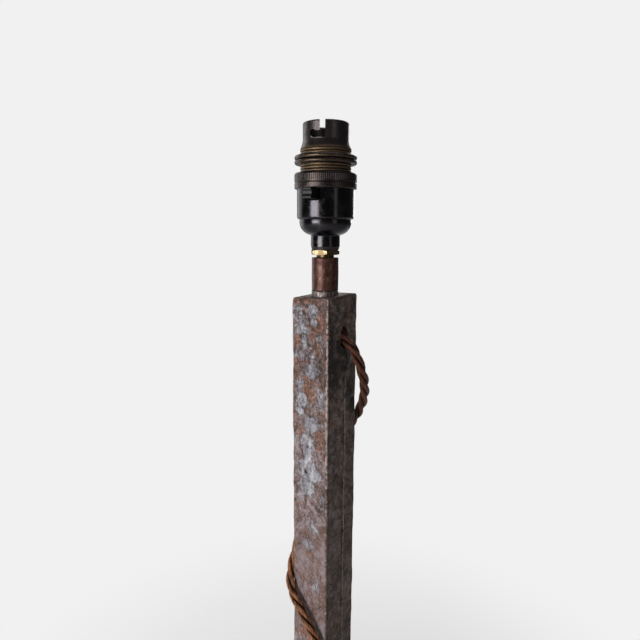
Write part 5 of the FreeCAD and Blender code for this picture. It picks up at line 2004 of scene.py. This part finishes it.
    def skin(self, run: list[float], base: int) -> tuple[list[tuple[int, ...]], list[Span]]:
        """Gives the faces of one strand and its two ends.

        Args:
            run: length of the line up to each place.
            base: number of the strand's first corner.

        Returns:
            The faces, and the places of their corners on the strand's map.
        """
        faces, spots = [], []
        sides = self.sides
        for number, (below, above) in enumerate(zip(run, run[1:])):
            low = base + number * sides
            high = low + sides
            for corner in range(sides):
                following = (corner + 1) % sides
                faces.append((low + corner, low + following, high + following, high + corner))
                left, right = corner / sides, (corner + 1) / sides
                spots += [(left, below), (right, below), (right, above), (left, above)]
        for number, order in ((0, -1), (len(run) - 1, 1)):
            first = base + number * sides
            faces.append(tuple(range(first, first + sides))[::order])
            spots += [(0.0, run[number])] * sides
        return faces, spots

    def tie(self) -> bpy.types.Object:
        """Builds the strap round the coil and the stud that closes it.

        Returns:
            The finished strap.
        """
        across = WRAP_POINTS[-1][0] + self.coil_lead
        middle = (across, self.tie_across, (self.tie_low + self.tie_high) / 2)
        size = (self.tie_width, 2 * self.tie_reach, self.tie_high - self.tie_low)
        strap = Workpiece.box("tie_strap", size, middle)
        strap.open_ends(Axis.X)
        strap.bevel(self.tie_corner, self.tie_corner_steps, self.spans_strap)
        strap.apply("SOLIDIFY", thickness=self.tie_thickness, offset=-1.0)
        strap.bevel(
            self.tie_round, self.tie_steps, lambda edge: edge.calc_face_angle(0.0) > self.tie_rim_angle
        )
        strap.smooth()
        rise = self.stud_high - self.tie_high
        half_way = self.tie_high + rise / 2
        place = (across, self.tie_across, half_way)
        stud = Workpiece.cylinder("tie_stud", self.stud_radius, rise, place, self.stud_sides)
        stud.bevel(
            self.stud_round, self.stud_steps, lambda edge: is_level(edge) and edge.verts[0].co.z > half_way
        )
        stud.smooth(self.stud_sharp)
        self.leather.dress(strap.object)
        self.brass.dress(stud.object)
        strap.activate()
        stud.object.select_set(True)
        bpy.ops.object.join()
        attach(strap.object, Body.LAMP.value)
        strap.enter(Slot.TIE, "cord_tie")
        return strap.object

    def spans_strap(self, edge: Any) -> bool:
        """Says whether an edge runs across the strap's width."""
        first, second = (vertex.co for vertex in edge.verts)
        return abs(first.x - second.x) > ON_AXIS * self.tie_width


@dataclass
class Plug:
    """The three-pin plug on the flex's far end."""

    case: Moulding = Moulding("plug_case", srgb(34, 30, 29), srgb(84, 78, 74), 0.26, 0.46)
    brass: WornMetal = WornMetal("pin_brass", srgb(216, 188, 128), srgb(150, 120, 74))
    ceramic: Moulding = Moulding("fuse_body", srgb(222, 216, 202), srgb(186, 176, 158), 0.25, 0.4)
    shells: tuple[str, ...] = ("plug_cover", "plug_base")
    pins: tuple[str, ...] = ("plug_earth_pin", "plug_live_pin", "plug_neutral_pin")

    def pieces(self) -> list[bpy.types.Object]:
        """Gives the plug's solids."""
        names = (*self.shells, *self.pins, "plug_fuse", "plug_cord_grip", "plug_screws")
        return [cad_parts[name] for name in names]

    def build(self) -> None:
        """Dresses the plug's solids."""
        dress_nodes(self.case, *self.shells, "plug_cord_grip")
        dress_nodes(self.brass, *self.pins)
        dress_nodes(self.ceramic, "plug_fuse")
        dress_nodes(PLATED_STEEL, "plug_screws")


@dataclass(frozen=True)
class Softbox:
    """A rectangular studio light, aimed at the lamp."""

    name: str
    bearing: float
    distance: float
    height: float
    width: float
    tall: float
    watts: float
    aim: Point = (0.0, 0.0, 0.30)

    def build(self) -> None:
        """Hangs the light."""
        data = bpy.data.lights.new(self.name, "AREA")
        data.shape = "RECTANGLE"
        data.size = self.width
        data.size_y = self.tall
        data.energy = self.watts
        made = bpy.data.objects.new(self.name, data)
        angle = math.radians(self.bearing)
        made.location = (self.distance * math.cos(angle), self.distance * math.sin(angle), self.height)
        way = Vector(self.aim) - made.location
        made.rotation_euler = way.to_track_quat("-Z", "Y").to_euler()
        bpy.context.scene.collection.objects.link(made)


@dataclass
class Studio:
    """The camera, the lights and the pale floor."""

    focal_pixels: float = 510.0
    sensor: float = 36.0
    clip_start: float = 0.01
    place: Point = (0.1925, -0.2222, 0.3912)
    heading: Point = (-0.655, 0.756, 0.0)
    sidestep: float = -0.0028
    pitch: float = 10.4
    roll: float = 0.275
    ambient: float = 0.08
    backdrop: float = 0.88
    floor_reach: float = 4.0
    lights: tuple[Softbox, ...] = (
        Softbox("key", -94, 1.25, 0.36, 0.69, 0.5, 13.0),
        Softbox("strip", -9, 1.2, 0.5, 0.22, 0.9, 0.65),
        Softbox("wall", 180, 1.3, 0.6, 1.0, 1.2, 5.4),
        Softbox("overhead", 100, 0.2, 1.8, 1.2, 1.2, 6.0),
        Softbox("back", 120, 1.4, 0.8, 0.9, 0.9, 8.0),
    )

    def build(self) -> None:
        """Sets up the camera, the lights, the surroundings and the floor."""
        self.camera()
        for light in self.lights:
            light.build()
        self.world()
        self.floor()
        bpy.context.scene.view_settings.view_transform = "Standard"

    def camera(self) -> None:
        """Puts the camera at the photograph's viewpoint."""
        pitch, roll = math.radians(self.pitch), math.radians(self.roll)
        ahead = Vector(self.heading).normalized()
        right = Vector((ahead.y, -ahead.x, 0))
        forward = ahead * math.cos(pitch) - Vector((0, 0, math.sin(pitch)))
        upward = right.cross(forward)
        tilted = right * math.cos(roll) + upward * math.sin(roll)
        upward = tilted.cross(forward)
        data = bpy.data.cameras.new("camera")
        data.sensor_width = self.sensor
        data.lens = self.focal_pixels / IMAGE_SIZE * self.sensor
        data.clip_start = self.clip_start
        made = bpy.data.objects.new("camera", data)
        turned = Matrix((tilted, upward, -forward)).transposed().to_4x4()
        made.matrix_world = Matrix.Translation(Vector(self.place) + right * self.sidestep) @ turned
        bpy.context.scene.collection.objects.link(made)
        bpy.context.scene.camera = made

    def world(self) -> None:
        """Lights the lamp dimly from all round, and shows white behind it."""
        made = bpy.data.worlds.new("studio")
        made.use_nodes = True
        made.node_tree.nodes.clear()
        graph = Graph(made.node_tree)
        seen = graph.node("ShaderNodeLightPath").outputs["Is Camera Ray"]
        dim, white = (
            graph.node("ShaderNodeBackground", {"Color": WHITE, "Strength": strength}).outputs[0]
            for strength in (self.ambient, self.backdrop)
        )
        both = graph.node("ShaderNodeMixShader", {0: seen, 1: dim, 2: white})
        graph.node("ShaderNodeOutputWorld", {"Surface": both.outputs[0]})
        bpy.context.scene.world = made

    def floor(self) -> None:
        """Lays a pale floor that runs out into the white behind."""
        bpy.ops.mesh.primitive_plane_add(size=2 * self.floor_reach, location=(0, 0, 0))
        plane = Workpiece("floor").object
        PaleFloor("pale_floor", self.backdrop).dress(plane)
        plane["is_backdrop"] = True


def main() -> None:
    """Builds the studio and the lamp, piece by piece, and measures the lamp's bounds."""
    Studio().build()
    plug = Plug()
    plug.build()
    Flex().build(plug)
    Foot().build()
    Post().build()
    Spigot().build()
    Lampholder().build()
    boxes = {"cad": CAD_BOX, "visual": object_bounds()}
    {name: [list(corner) for corner in box] for name, box in boxes.items()}


if __name__ == "__main__":
    main()
